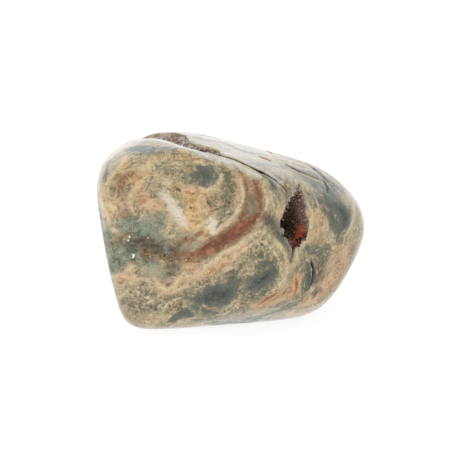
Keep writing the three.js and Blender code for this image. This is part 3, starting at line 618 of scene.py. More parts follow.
def mark_samples(kind):
    """All the samples of one kind of mark, as places and radii in millimetres."""
    samples = []
    for locate, strokes, per_mm in ((seen, SEEN_MARKS[kind], PIXELS_PER_MM), (skin_at, FAR_MARKS[kind], 1)):
        for stroke in strokes:
            places = np.array([locate(first, second) for first, second, size in stroke])
            radii = np.array([size / per_mm for first, second, size in stroke])
            samples.append(stroke_samples(places, radii))
    for azimuth, elevation, radius in FAR_ORBS:
        if kind == "slate":
            samples.append(np.append(skin_at(azimuth, elevation), radius * ORB_CORE)[None])
        if kind in ORB_RINGS:
            place, width = ORB_RINGS[kind]
            circle = ring(azimuth, elevation, radius * place)
            samples.append(stroke_samples(circle, np.full(ORB_POINTS, radius * width)))
    return np.vstack(samples)


def rail_samples():
    """Samples along every line that the banding follows."""
    lines = [(seen, rail) for rail in SEEN_RAILS] + [(skin_at, rail) for rail in FAR_RAILS]
    rails = [np.array([locate(*pair) for pair in rail]) for locate, rail in lines]
    samples = np.vstack([stroke_samples(rail, np.full(len(rail), RAIL_RADIUS)) for rail in rails])
    samples[:, 3] = 0
    return samples


def spot_samples(spots):
    """The places and radii of spots that are given as pixels and radii in millimetres."""
    return np.array([np.append(seen(x, y), radius) for x, y, radius in spots])


def gap_to(skin, samples, most=FARTHEST):
    """The distance from each place to the nearest of the samples' edges, below zero inside."""
    gaps = np.zeros(len(skin))
    skin = skin.astype(np.float32)
    samples = samples.astype(np.float32)
    centres = samples[:, :3]
    lengths = (centres ** 2).sum(1)
    for start in range(0, len(skin), BATCH):
        part = skin[start:start + BATCH]
        square = part @ (-2 * centres.T)
        square += lengths
        square += (part ** 2).sum(1)[:, None]
        np.maximum(square, 0, out=square)
        np.sqrt(square, out=square)
        square -= samples[:, 3]
        gaps[start:start + BATCH] = square.min(1)
    return np.minimum(gaps, most)


# How a hollow's wall falls, and how its rim is worn round: the wear's width, and its drop where the
# hollow is wide, where it is narrow, and where the rim is rolled over on the stone's front side, with
# the share of that along the long crack and the width of the roll.
WALL_POWER = 3
RIM_ROUNDING = 0.25
WIDE_DROP = 0.14
NARROW_DROP = 0.05
ROLLED_DROP = 0.34
ROLLED_CRACK_SHARE = 0.35
ROLLED_WIDTH = 0.75

# The soft crest along a rolled rim, and from how far off the edge it counts
CREST_HEIGHT = 0.3
CREST_PLACE = 1.0
CREST_SPREAD = 0.9
CREST_FROM = -0.1

# How much painted shade darkens the walls for their depth, how far the crevice's rim is free of painted
# shade, the scale at which edges wave, and how far out they do
POCKET_SHADE = 1.0
CREVICE_SHADE = 0.3
CREVICE_CLEAN = 1.0
CRACK_SHADE = 2.0
LONG_CRACK_SHADE = 2.2
WIDE_WAVES = 1.3
NARROW_WAVES = 0.7
WAVES_REACH = 1.5


class Hollow:
    """A hollow or crack that follows its stations over the stone's skin. Its edge is rough with waves
    of a scale, its rim drops, more where it is rolled, its stain sets how much painted shade darkens its
    walls for their depth, and clean keeps the rim free of that painted shade."""

    def __init__(self, stations, samples, roughness, seed, waves, drop, stain, rolled=None, clean=0):
        path = smooth_path([towards(*station[:2]) for station in stations], samples)
        sizes = smooth_path([station[2:] for station in stations], samples)
        out = unit(path)
        self.skin = out * reach(out)[:, None]
        self.across = unit(np.cross(out, unit(np.gradient(self.skin, axis=0))))
        self.half = sizes[:, 0]
        self.depth = sizes[:, 1]
        self.roughness = roughness
        self.seed = seed
        self.waves = waves
        self.drop = drop
        self.stain = stain
        self.rolled = rolled
        self.clean = clean

    def measure(self, skin):
        """For places on the skin: the share of the half width that they are out from the middle line,
        their side, the distance from the edge in millimetres, the depth there and the nearest row."""
        gaps = skin @ self.skin.T * -2 + (skin ** 2).sum(1)[:, None] + (self.skin ** 2).sum(1)
        nearest = gaps.argmin(1)
        offset = skin - self.skin[nearest]
        side = (offset * self.across[nearest]).sum(1)
        beyond = np.sqrt(np.maximum((offset ** 2).sum(1) - side ** 2, 0))
        beyond = np.where((nearest == 0) | (nearest == len(self.skin) - 1), beyond, 0)
        half = self.half[nearest]
        distance = np.hypot(side, beyond)
        return distance / half, np.sign(side), distance - half, self.depth[nearest], nearest

    def fall(self, skin):
        """How deep it cuts below the skin at each place, how far its edge is, and the side."""
        share, side, gap, depth, nearest = self.measure(skin)
        close = gap < WAVES_REACH
        swell = np.zeros(len(skin))
        swell[close] = wander(skin[close], self.waves, self.seed) * self.roughness
        half = self.half[nearest] * (1 + swell)
        gap = share * self.half[nearest] - half
        fall = depth * np.sqrt(np.maximum(1 - (np.maximum(gap + half, 0) / half) ** WALL_POWER, 0))
        return fall, gap, side


crevice = Hollow(CREVICE, samples=240, roughness=0.16, seed=3, waves=WIDE_WAVES, drop=WIDE_DROP,
                 stain=CREVICE_SHADE, rolled=ROLLED_DROP, clean=CREVICE_CLEAN)
pocket = Hollow(POCKET, samples=160, roughness=0.2, seed=5, waves=WIDE_WAVES, drop=WIDE_DROP,
                stain=POCKET_SHADE)
cracks = [Hollow(stations, samples=160, roughness=0.45, seed=11 + 2 * row, waves=NARROW_WAVES,
                 drop=NARROW_DROP, stain=CRACK_SHADE) for row, stations in enumerate(CRACKS)]
cracks[0].stain = LONG_CRACK_SHADE
cracks[0].rolled = ROLLED_DROP * ROLLED_CRACK_SHARE
hollows = [crevice, pocket] + cracks

mark_places = {kind: mark_samples(kind) for kind in SEEN_MARKS}
knob_places = spot_samples(KNOBS)
pit_places = spot_samples([(x, y, PIT_RADIUS) for x, y in PITS])
chip_places = spot_samples(CHIPS)

# Where the mesh is fine: the ball's first steps, how near each further step reaches, what is added to
# the distance from a thin mark, how far the walls count as edge, and what is taken off outside it
FIRST_STEPS = 7
FINE_LIMITS = (0.4, 0.16)
THIN_MARKS = {"rust": 0.12, "dark": 0.12, "cream": 0.2}
WALL_BAND = 1.2
EDGE_MARGIN = 0.02


def nearness(skin):
    """The distance to the nearest edge, thin mark, chip or pit, which says where the mesh has to be fine."""
    near = np.full(len(skin), FARTHEST)
    for hollow in hollows:
        gap = hollow.measure(skin)[2]
        outside = np.maximum(gap, 0) - EDGE_MARGIN
        near = np.minimum(near, np.where(gap < -WALL_BAND, np.abs(gap) - WALL_BAND, outside))
    for kind, allowance in THIN_MARKS.items():
        near = np.minimum(near, np.abs(gap_to(skin, mark_places[kind])) + allowance)
    for places in (chip_places, pit_places):
        near = np.minimum(near, np.maximum(gap_to(skin, places), 0))
    return near


def fine_ball():
    """A ball of triangles, finer along every edge, crack, thin line and pit."""
    ball = bmesh.new()
    bmesh.ops.create_icosphere(ball, subdivisions=FIRST_STEPS, radius=1)
    for limit in FINE_LIMITS:
        ball.verts.index_update()
        close = nearness(skin_places(ball)[1]) < limit
        faces = [face for face in ball.faces if any(close[vertex.index] for vertex in face.verts)]
        edges = list({edge for face in faces for edge in face.edges})
        bmesh.ops.subdivide_edges(ball, edges=edges, cuts=1, use_grid_fill=True)
        bmesh.ops.triangulate(ball, faces=ball.faces[:])
    return ball


def dint(gap, depth, wall):
    """The depth of a chip or pit, from the distance to its edge and the width of its wall."""
    return depth * np.clip(-gap / wall, 0, 1) ** 0.5


def carve(skin):
    """The depth of every place below the skin, how much painted shade it takes for its depth, and how far
    the nearest edge is.
    """
    depth = np.zeros(len(skin))
    stain = np.zeros(len(skin))
    edge = np.full(len(skin), FARTHEST)
    for hollow in hollows:
        fall, gap, side = hollow.fall(skin)
        if hollow is pocket:
            knob = np.clip(gap_to(skin, knob_places), -KNOB_REACH, KNOB_REACH)
            fall *= 1 - KNOB_FILL / (1 + np.exp(knob * KNOB_STEEPNESS))
        drop = np.full(len(skin), hollow.drop)
        rounding = np.full(len(skin), RIM_ROUNDING)
        if hollow.rolled:
            front = side < 0
            drop[front] = hollow.rolled
            rounding[front] = ROLLED_WIDTH
            crest = CREST_HEIGHT * np.exp(-((gap - CREST_PLACE) / CREST_SPREAD) ** 2)
            depth -= crest * front * (gap > CREST_FROM)
        fall += drop * np.exp(-(np.maximum(gap, 0) / rounding) ** 2)
        depth = np.maximum(depth, fall)
        # Painted shade: the finish darkens each wall for its depth, by the hollow's share
        stain = np.maximum(stain, fall * hollow.stain)
        edge = np.minimum(edge, gap + hollow.clean)
    depth = np.maximum(depth, dint(gap_to(skin, chip_places), CHIP_DEPTH, CHIP_WALL))
    pit = gap_to(skin, pit_places)
    depth = np.maximum(depth, dint(pit, PIT_DEPTH, PIT_RADIUS))
    # Pits take painted shade for their depth too
    return depth, np.maximum(stain, depth * (pit < 0) * PIT_SHADE), edge


# Low waves in the polish, each with its scale, seed and share of the height
WAVE_HEIGHT = 0.06
BROAD_WAVES = (5.0, 21)
SMALL_WAVES = (1.6, 22)
SMALL_WAVE_SHARE = 0.35

# The sunken green druzy zone: its soft edge, its depth, and its grains with what shifts and parts them
DRUZY_EDGE = 0.6
DRUZY_SINK = 0.1
DRUZY_RELIEF = 0.06
GRAINS_PER_MM = 3.2
GRAIN_SHIFT = 0.35
GRAIN_WAVES = (0.4, 24)
GRAIN_PATCHES = (1.1, 25)
GRAIN_LEVEL = -0.1

# The vertices along the rims that are smoothed, and how much
RIM_BAND = 0.12
RIM_SMOOTHING = 0.4
RIM_ROUNDS = 2


def shape_stone(ball):
    """Push the ball out to the stone's form. Gives each vertex's skin place, stain and edge distance."""
    directions, skin = skin_places(ball)
    depth, stain, edge = carve(skin)
    lift = wander(skin, *BROAD_WAVES) * WAVE_HEIGHT
    lift += wander(skin, *SMALL_WAVES) * WAVE_HEIGHT * SMALL_WAVE_SHARE
    druzy = np.clip(-gap_to(skin, mark_places["green"]) / DRUZY_EDGE, 0, 1)
    shifted = skin + GRAIN_SHIFT * wander(skin, *GRAIN_WAVES)[:, None]
    grains = np.array([noise.cell(Vector(place) * GRAINS_PER_MM) for place in shifted])
    lift -= druzy * (DRUZY_SINK - DRUZY_RELIEF * grains * (wander(skin, *GRAIN_PATCHES) > GRAIN_LEVEL))
    places = skin + directions * (lift - depth)[:, None]
    places[:, 2] = np.maximum(places[:, 2], -HEART[2])
    for vertex, place in zip(ball.verts, places):
        vertex.co = place
    rim = [vertex for vertex, gap in zip(ball.verts, edge) if abs(gap) < RIM_BAND]
    for _ in range(RIM_ROUNDS):
        bmesh.ops.smooth_vert(ball, verts=rim, factor=RIM_SMOOTHING, use_axis_x=True, use_axis_y=True,
                              use_axis_z=True)
    return skin, stain, edge


def store(mesh, name, columns):
    """Keep up to three numbers for each vertex, which the finish reads."""
    columns = list(columns) + [np.zeros(len(mesh.vertices))] * (3 - len(columns))
    attribute = mesh.attributes.new(name, "FLOAT_VECTOR", "POINT")
    attribute.data.foreach_set("vector", np.column_stack(columns).astype(np.float32).ravel())


def piece_of(name, form, node, finish):
    """Make an object in metres of a form that is in millimetres about the heart and node."""
    bmesh.ops.transform(form, verts=form.verts, matrix=Matrix.Scale(MM, 4) @ Matrix.Translation(HEART))
    mesh = bpy.data.meshes.new(name)
    form.to_mesh(mesh)
    form.free()
    mesh.shade_smooth()
    mesh.materials.append(finish)
    piece = bpy.data.objects.new(name, mesh)
    bpy.context.scene.collection.objects.link(piece)
    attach(piece, "root")
    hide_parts(node)
    return piece


# A Mix node's sockets for the share and the two colours, and a Vector Math node's for its scale
MIX_SHARE, MIX_UNDER, MIX_OVER = 0, 6, 7
VECTOR_SCALE = 3


class Finish:
    """A material's node tree, with short ways to add to it."""

    def __init__(self, name):
        self.material = bpy.data.materials.new(name)
        self.material.use_nodes = True
        self.nodes = self.material.node_tree.nodes
        self.links = self.material.node_tree.links
        self.shader = self.nodes["Principled BSDF"]
        place = self.nodes.new("ShaderNodeTexCoord")
        self.place = self.vector("MULTIPLY", place.outputs["Object"], (1 / MM, 1 / MM, 1 / MM))

    def feed(self, socket, value):
        if isinstance(value, bpy.types.NodeSocket):
            self.links.new(value, socket)
        elif value is not None:
            socket.default_value = value

    def fix(self, **settings):
        """Set the shader's own sockets, which are named with _ for a space."""
        for name, value in settings.items():
            self.shader.inputs[name.replace("_", " ")].default_value = value

    def vector(self, operation, first, second=None, scale=None):
        node = self.nodes.new("ShaderNodeVectorMath")
        node.operation = operation
        self.feed(node.inputs[0], first)
        self.feed(node.inputs[1], second)
        self.feed(node.inputs[VECTOR_SCALE], scale)
        return node.outputs["Vector"]

    def math(self, operation, first, second=None):
        node = self.nodes.new("ShaderNodeMath")
        node.operation = operation
        self.feed(node.inputs[0], first)
        self.feed(node.inputs[1], second)
        return node.outputs[0]

    def add(self, first, second):
        return self.math("ADD", first, second)

    def minus(self, first, second):
        return self.math("SUBTRACT", first, second)

    def times(self, first, second):
        return self.math("MULTIPLY", first, second)

    def split(self, vector):
        """The three numbers of a vector."""
        node = self.nodes.new("ShaderNodeSeparateXYZ")
        self.links.new(vector, node.inputs[0])
        return [node.outputs[row] for row in range(3)]

    def three(self, name):
        """The three numbers of an attribute."""
        node = self.nodes.new("ShaderNodeAttribute")
        node.attribute_name = name
        return self.split(node.outputs["Vector"])

    def cloud(self, scale, detail, roughness, place=None, also=None, out="Fac", twist=0.0):
        """Noise with a number of features per millimetre; also is a fourth coordinate."""
        node = self.nodes.new("ShaderNodeTexNoise")
        node.noise_dimensions = "3D" if also is None else "4D"
        self.feed(node.inputs["Vector"], self.place if place is None else place)
        if also is not None:
            self.feed(node.inputs["W"], also)
        settings = {"Scale": scale, "Detail": detail, "Roughness": roughness, "Distortion": twist}
        for name, number in settings.items():
            node.inputs[name].default_value = number
        return node.outputs[out]

    def centred(self, scale, detail, roughness):
        """Noise about zero."""
        return self.minus(self.cloud(scale, detail, roughness), 0.5)

    def step(self, value, low, high, least=0.0, most=1.0):
        """A smooth rise from least to most while the value goes from low to high."""
        node = self.nodes.new("ShaderNodeMapRange")
        node.interpolation_type = "SMOOTHSTEP"
        self.feed(node.inputs["Value"], value)
        for name, number in zip(("From Min", "From Max", "To Min", "To Max"), (low, high, least, most)):
            self.feed(node.inputs[name], number)
        return node.outputs["Result"]

    def blend(self, share, under, over, way="MIX"):
        node = self.nodes.new("ShaderNodeMix")
        node.data_type = "RGBA"
        node.blend_type = way
        self.feed(node.inputs[MIX_SHARE], share)
        self.feed(node.inputs[MIX_UNDER], under)
        self.feed(node.inputs[MIX_OVER], over)
        return node.outputs[2]

    def between(self, value, low, high, first, second):
        """From the first colour to the second while the value goes from low to high."""
        return self.blend(self.step(value, low, high), first, second)

    def tinted(self, tone, *tints):
        """A colour with tints over it: a value, its low and high, the most of the tint, and its colour."""
        for value, low, high, most, tint in tints:
            tone = self.blend(self.step(value, low, high, 0, most), tone, tint)
        return tone

    def relief(self, height, strength, distance):
        """A bump whose distance is in millimetres."""
        node = self.nodes.new("ShaderNodeBump")
        self.feed(node.inputs["Strength"], strength)
        node.inputs["Distance"].default_value = distance * MM
        self.feed(node.inputs["Height"], height)
        self.links.new(node.outputs["Normal"], self.shader.inputs["Normal"])


# How much of its own colour a surface sends back in this room, the white that its polish adds, and
# the darkest that a colour may be
ROOM_GAIN = 1.24
ROOM_GLOSS = 0.04
DARKEST = 0.004


def paint(red, green, blue):
    """The colour of a surface that looks like this in the room, from 0 to 255."""
    seen_levels = [((level / 255 + 0.055) / 1.055) ** 2.4 for level in (red, green, blue)]
    return tuple(max(level - ROOM_GLOSS, DARKEST) / ROOM_GAIN for level in seen_levels) + (1,)


# What the mesh keeps for the finish, three to an attribute: the distances from the marks, flow from the
# lines of the banding, the painted shade for the depth of the hollows, and their edge
MARK_SETS = {
    "marks_a": ("slate", "blue", "red"),
    "marks_b": ("green", "clear", "peach"),
    "marks_c": ("cream", "rust", "dark"),
    "marks_d": ("white", "mottled", "flow"),
    "marks_e": ("depth", "edge", "spark"),
    "marks_f": ("brown", "ochre", "mist"),
    "marks_g": ("pale", "olive", "crumbs"),
}


class StoneFinish(Finish):
    """The stone's finish. Its colour is laid down in coats, whose edges noise makes irregular."""

    def __init__(self, name):
        super().__init__(name)
        self.mark = {}
        for set_name, kinds in MARK_SETS.items():
            self.mark.update(zip(kinds, self.three(set_name)))
        self.ragged = self.centred(1.5, 4, 0.6)
        self.crumbly = self.centred(4.0, 3, 0.6)
        warp = self.vector("SUBTRACT", self.cloud(0.9, 3, 0.55, out="Color"), (0.5, 0.5, 0.5))
        self.warped = self.vector("ADD", self.place, self.vector("SCALE", warp, scale=1.1))
        stream = self.add(self.mark["flow"], self.times(self.centred(0.5, 2, 0.5), 3.0))
        self.stream = self.add(stream, self.times(self.ragged, 0.9))
        self.threads = self.drawn_out(0.5, 3, 0.55, 2.4)
        self.streaky = self.minus(self.threads, 0.5)
        self.tones = self.drawn_out(0.28, 3, 0.5, 0.6, 40)
        self.patches = self.drawn_out(0.85, 5, 0.7, 1.8, 9)
        self.cloudy = self.cloud(0.8, 5, 0.65, place=self.warped, also=5.0)
        self.thick = self.inside(self.mark["mottled"], 0.8, 0.8, 1.2)
        self.level = self.thread_level()
        self.hair_level = self.folded(self.drawn_out(0.8, 3, 0.55, 3.4), 5.0)

    def drawn_out(self, scale, detail, roughness, pull, shift=None):
        """Noise that is drawn out along the bands."""
        also = self.times(self.stream, pull)
        if shift is not None:
            also = self.add(also, shift)
        return self.cloud(scale, detail, roughness, place=self.warped, also=also)

    def folded(self, value, folds):
        """A value that goes to and fro between 0 and 1, which gives thin lines."""
        return self.math("PINGPONG", self.times(value, folds), 1.0)

    def inside(self, gap, soft, streaks=0.0, loose=0.0, crumbs=0.0):
        """One inside a mark, with a softness and wanderings in millimetres."""
        for noise_part, size in ((self.streaky, streaks), (self.ragged, loose), (self.crumbly, crumbs)):
            if size:
                gap = self.add(gap, self.times(noise_part, size))
        return self.step(gap, -soft, soft, 1, 0)

    def thread_level(self):
        """Thin lines where noise crosses a level: along the bands, and curled where it is mottled."""
        curl_share = self.math("MAXIMUM", self.thick, self.step(self.cloud(0.35, 2, 0.5), 0.5, 0.64))
        worms = self.cloud(1.0, 1.6, 0.5, place=self.warped, twist=0.5)
        curls = self.times(self.folded(worms, 10.5), curl_share)
        return self.add(curls, self.times(self.folded(self.threads, 5.6), self.minus(1.0, curl_share)))

    def lay(self, share, amount, tone):
        """Lay a coat of an amount over the colour."""
        self.colour = self.blend(self.times(share, amount), self.colour, tone)

    def lay_mark(self, kind, edges, amount, tone, wider=0.0, within=None):
        """Lay a coat inside a mark, whose edges are as inside takes them. Gives the mark's share."""
        share = self.inside(self.add(self.mark[kind], -wider) if wider else self.mark[kind], *edges)
        if within is not None:
            share = self.times(share, within)
        self.lay(share, amount, tone)
        return share

    def by_level(self, first, second):
        """From the first colour to the second across the thin lines."""
        return self.between(self.level, 0.15, 0.85, first, second)


def lay_ground(look):
    """The ground: long soft layers of tan, ochre and cream, grey-green mottle, and threads over it."""
    bands = look.drawn_out(0.3, 4, 0.6, 1.3)
    ground = look.between(bands, 0.36, 0.6, paint(158, 146, 119), paint(199, 180, 145))
    look.colour = look.tinted(ground, (look.tones, 0.52, 0.66, 0.65, paint(186, 158, 112)),
                              (look.tones, 0.46, 0.32, 0.55, paint(196, 164, 132)))

    bias = look.add(look.times(look.thick, 0.12), look.times(look.streaky, 0.15))
    mottle = look.blend(look.level, paint(102, 100, 82), paint(164, 154, 127))
    mottle = look.tinted(mottle, (look.tones, 0.45, 0.6, 0.6, paint(108, 113, 102)))
    look.lay(look.step(look.add(look.patches, bias), 0.47, 0.62), 0.8, mottle)

    dark_thread, light_thread = paint(104, 98, 77), paint(228, 208, 172)
    strength = look.step(look.cloud(0.7, 3, 0.55, place=look.warped), 0.38, 0.58, 0.35, 1.0)
    look.lay(look.step(look.level, 0.34, 0.08, 0, 0.7), strength, dark_thread)
    look.lay(look.step(look.level, 0.7, 0.95, 0, 0.75), strength, light_thread)
    look.colour = look.tinted(look.colour, (look.hair_level, 0.26, 0.04, 0.45, dark_thread),
                              (look.hair_level, 0.82, 0.98, 0.4, light_thread))


def lay_bands(look):
    """Peach, ochre, green, brown and clear grey bands and zones. Gives the green's and brown's shares."""
    peach = look.by_level(paint(186, 146, 108), paint(222, 188, 150))
    look.lay_mark("peach", (0.5, 1.2, 0.9, 0.4), 0.82, peach)
    ochre = look.by_level(paint(188, 150, 102), paint(230, 194, 144))
    look.lay_mark("ochre", (0.6, 1.2, 1.0, 0.5), 0.8, ochre)

    green = look.tinted(
        look.between(look.cloudy, 0.38, 0.54, paint(92, 96, 79), paint(137, 150, 130)),
        (look.cloudy, 0.56, 0.68, 1, paint(164, 177, 159)),
        (look.cloud(1.3, 4, 0.6, also=9.0), 0.6, 0.7, 0.6, paint(118, 88, 54)),
        (look.cloud(2.0, 3, 0.6, also=19.0), 0.56, 0.66, 0.7, paint(178, 176, 154)),
        (look.hair_level, 0.2, 0.04, 0.4, paint(74, 74, 58)),
        (look.hair_level, 0.8, 0.96, 0.4, paint(186, 190, 172)),
        (look.crumbly, 0.07, 0.16, 0.5, paint(84, 82, 62)),
    )
    green_share = look.lay_mark("green", (0.7, 0.8, 1.4, 0.8), 0.88, green)
    brown = look.by_level(paint(100, 80, 60), paint(158, 132, 102))
    brown_share = look.lay_mark("brown", (0.8, 0.8, 1.0, 0.4), 0.75, brown)

    clear = look.between(look.patches, 0.4, 0.6, paint(62, 54, 44), paint(106, 99, 84))
    clear = look.tinted(clear, (look.hair_level, 0.7, 1.0, 0.3, paint(158, 146, 126)))
    look.lay_mark("clear", (0.6, 0.8, 0.8, 0.3), 0.85, clear)
    return green_share, brown_share


def lay_patches(look):
    """Dark olive between light curls, slate and blue-grey patches that are dark in the middle and
    feathered along the bands, and mist. Gives the share of slate or blue."""
    olive = look.between(look.cloudy, 0.42, 0.6, paint(94, 93, 75), paint(122, 119, 97))
    between_curls = look.step(look.level, 0.85, 0.25, 0.3, 0.9)
    look.lay_mark("olive", (0.6, 2.0, 1.3, 1.0), 0.8, olive, within=between_curls)

    slate = look.tinted(
        look.between(look.mark["slate"], -1.5, 0.1, paint(58, 72, 72), paint(110, 114, 102)),
        (look.cloudy, 0.46, 0.62, 0.55, paint(66, 75, 74)),
        (look.hair_level, 0.6, 1.0, 0.45, paint(124, 128, 112)),
        (look.crumbly, 0.04, 0.16, 0.4, paint(122, 122, 104)),
    )
    slate_share = look.lay_mark("slate", (0.4, 2.4, 1.3, 0.9), 0.92, slate, wider=0.14)
    blue = look.between(look.threads, 0.4, 0.62, paint(84, 99, 103), paint(132, 141, 140))
    blue_share = look.lay_mark("blue", (0.6, 2.2, 1.2, 0.6), 0.8, blue)
    look.lay_mark("mist", (0.5, 1.0, 1.3, 1.5), 0.6, paint(164, 161, 144))
    return look.math("MAXIMUM", slate_share, blue_share)


def lay_red(look):
    """Red-brown bands, brown and mauve at their edges, with orange and dark spots."""
    look.lay_mark("red", (0.9, 1.6, 0.9), 0.6, paint(156, 126, 96))
    spots = look.cloud(1.2, 4, 0.62, place=look.warped, also=21.0)
    red = look.tinted(
        look.between(look.mark["red"], -0.6, -0.1, paint(126, 74, 58), paint(144, 104, 72)),
        (spots, 0.53, 0.66, 0.9, paint(172, 112, 82)),
        (spots, 0.47, 0.34, 1, paint(96, 62, 52)),
        (look.crumbly, 0.06, 0.16, 0.5, paint(158, 128, 108)),
    )
    look.lay_mark("red", (0.45, 1.8, 1.5, 1.0), 0.86, red)


def lay_lines(look, brown_share):
    """Cream veins, white wisps that are broken into threads and are partly a painted highlight, a painted
    sheen, rust and dark lines.
    """
    broken = look.step(look.ragged, -0.14, 0.02, 0.3, 1)
    look.lay_mark("cream", (0.22, 1.2, 1.0, 0.9), 0.82, paint(228, 208, 170), within=broken)
    crumbled = look.step(look.crumbly, -0.16, 0.02, 0.6, 1)
    # Partly a painted highlight: the white patches on the front stand in part for the shine of a soft lamp
    look.lay_mark("white", (0.4, 1.5, 1.3, 1.1), 0.82, paint(238, 225, 206), within=crumbled)
    # Painted sheen: a whitish coat along the crest and rims, where the polish would shine at grazing angles
    look.lay_mark("pale", (0.6, 1.2, 1.0, 0.5), 0.7, paint(236, 236, 230))
    look.lay_mark("rust", (0.35, 0.6, 0.4, 0.4), 0.65, paint(206, 152, 100), wider=0.16,
                  within=look.minus(1.0, brown_share))
    look.lay_mark("rust", (0.07, 0.1, 0.2, 0.25), 0.9, paint(150, 100, 50), wider=-0.02)
    look.lay_mark("dark", (0.12, 0.1, 0.3, 0.4), 0.75, paint(72, 68, 54))


def lay_crumbs_glints_and_shade(look):
    """Sugary crumbs, dark, orange and light, painted glints, and painted shade on the walls of the hollows.
    """
    grit = look.cloud(3.4, 2, 0.6)
    crumbs = look.tinted(
        look.between(grit, 0.46, 0.54, paint(66, 56, 44), paint(140, 104, 78)),
        (look.cloud(4.4, 2, 0.6, also=31.0), 0.6, 0.66, 1, paint(214, 196, 170)),
    )
    grains = look.step(look.math("ABSOLUTE", look.add(grit, -0.5)), 0.03, 0.09, 0, 0.85)
    look.lay_mark("crumbs", (0.2, 0, 0.6, 0.5), 1.0, crumbs, within=grains)
    look.colour = look.tinted(
        look.colour,
        # Painted glints: white dots that stand for crystals catching the light
        (look.mark["spark"], 0.04, -0.02, 1, paint(250, 250, 248)),
        # Painted shade: the walls of the hollows are greyed near their edges and darkened with their depth
        (look.mark["edge"], 0.1, 0.0, 0.15, paint(132, 122, 110)),
        (look.mark["depth"], 0.2, 0.5, 0.8, paint(128, 118, 108)),
        (look.mark["depth"], 0.4, 0.8, 0.95, paint(52, 46, 42)),
    )


QUARTZ_IOR = 1.54


def polished_finish():
    """The stone's own finish: tan ground with bands, orbs, mottle and filaments under a polish."""
    look = StoneFinish("polished_jasper")
    lay_ground(look)
    green_share, brown_share = lay_bands(look)
    smooth_share = lay_patches(look)
    lay_red(look)
    lay_lines(look, brown_share)
    lay_crumbs_glints_and_shade(look)

    grain = look.cloud(5.5, 3, 0.65, place=look.warped)
    colour = look.blend(1.0, look.colour, look.step(grain, 0.25, 0.75, 0.86, 1.12), "MULTIPLY")
    look.feed(look.shader.inputs["Base Color"], colour)
    rough = look.add(look.step(grain, 0.3, 0.7, 0.13, 0.2), look.times(green_share, 0.1))
    rough = look.add(rough, look.times(smooth_share, 0.12))
    rough = look.add(rough, look.step(look.mark["depth"], 0.05, 0.4, 0, 0.3))
    look.feed(look.shader.inputs["Roughness"], rough)
    look.fix(IOR=QUARTZ_IOR, Sheen_Weight=0.42, Sheen_Roughness=0.35)
    pitting = look.times(look.cloud(2.5, 3, 0.55), look.add(green_share, 0.3))
    look.relief(look.add(look.times(grain, 0.25), pitting), strength=0.3, distance=0.05)
    return look.material


# The crust on a hollow's wall: the share of the hollow's width and depth at which it lies, how thick it
# is, the share of the depth that may stay bare at the rim, and the bumps in it
CRUST_FILL = 0.93
CRUST_WALL = 0.2
MOST_RECESS = 0.9
BUMP_SCALE = 0.45
BUMP_HEIGHT = 0.12

# One crystal, a millimetre long: the radii at its foot and shoulder, and how long its sides are
CRYSTAL_FOOT = 0.26
CRYSTAL_SHOULDER = 0.3
CRYSTAL_SIDES = 0.6

# How the crystals stand: how far they stray, sink and lean, and how their sizes and widths vary
CRYSTAL_STRAY = 0.12
CRYSTAL_SINK = 0.12
CRYSTAL_LEAN = 0.35
CRYSTAL_SIZES = (0.7, 1.0, 1.0, 1.3)
CRYSTAL_WIDTHS = (0.8, 1.25)
FULL_TURN = 6.28


def lining_place(hollow, along, across, recess):
    """A place on the wall of a hollow, from -1 to 1 across it, below its rim."""
    row = along * (len(hollow.skin) - 1)
    low = min(int(row), len(hollow.skin) - 2)
    share = row - low
    middle, sideways, half, depth = (rows[low] * (1 - share) + rows[low + 1] * share
                                     for rows in (hollow.skin, hollow.across, hollow.half, hollow.depth))
    top = (1 - min(recess / depth, MOST_RECESS) ** 2) ** (1 / WALL_POWER)
    x = math.sin(across * math.asin(top))
    place = middle + sideways * half * x * CRUST_FILL
    out = place / np.linalg.norm(place)
    fall = depth * CRUST_FILL * math.sqrt(max(1 - abs(x) ** WALL_POWER, 0))
    return out * (reach(out[None])[0] - fall)


def crystal_form():
    """One six-sided crystal with a point, a millimetre long, standing on the origin."""
    crystal = bmesh.new()
    bmesh.ops.create_cone(crystal, cap_ends=True, segments=6, radius1=CRYSTAL_FOOT, radius2=CRYSTAL_SHOULDER,
                          depth=CRYSTAL_SIDES)
    bmesh.ops.translate(crystal, verts=crystal.verts, vec=(0, 0, CRYSTAL_SIDES / 2))
    top = max(crystal.faces, key=lambda face: face.calc_center_median().z)
    point = bmesh.ops.poke(crystal, faces=[top])["verts"][0]
    point.co.z = 1.0
    mesh = bpy.data.meshes.new("crystal_form")
    crystal.to_mesh(mesh)
    crystal.free()
    return mesh


def too_near(place, spot):
    """Whether a place lies within the radius of a spot, if there is one."""
    return spot is not None and np.linalg.norm(np.array(place) - spot[:3]) < spot[3]


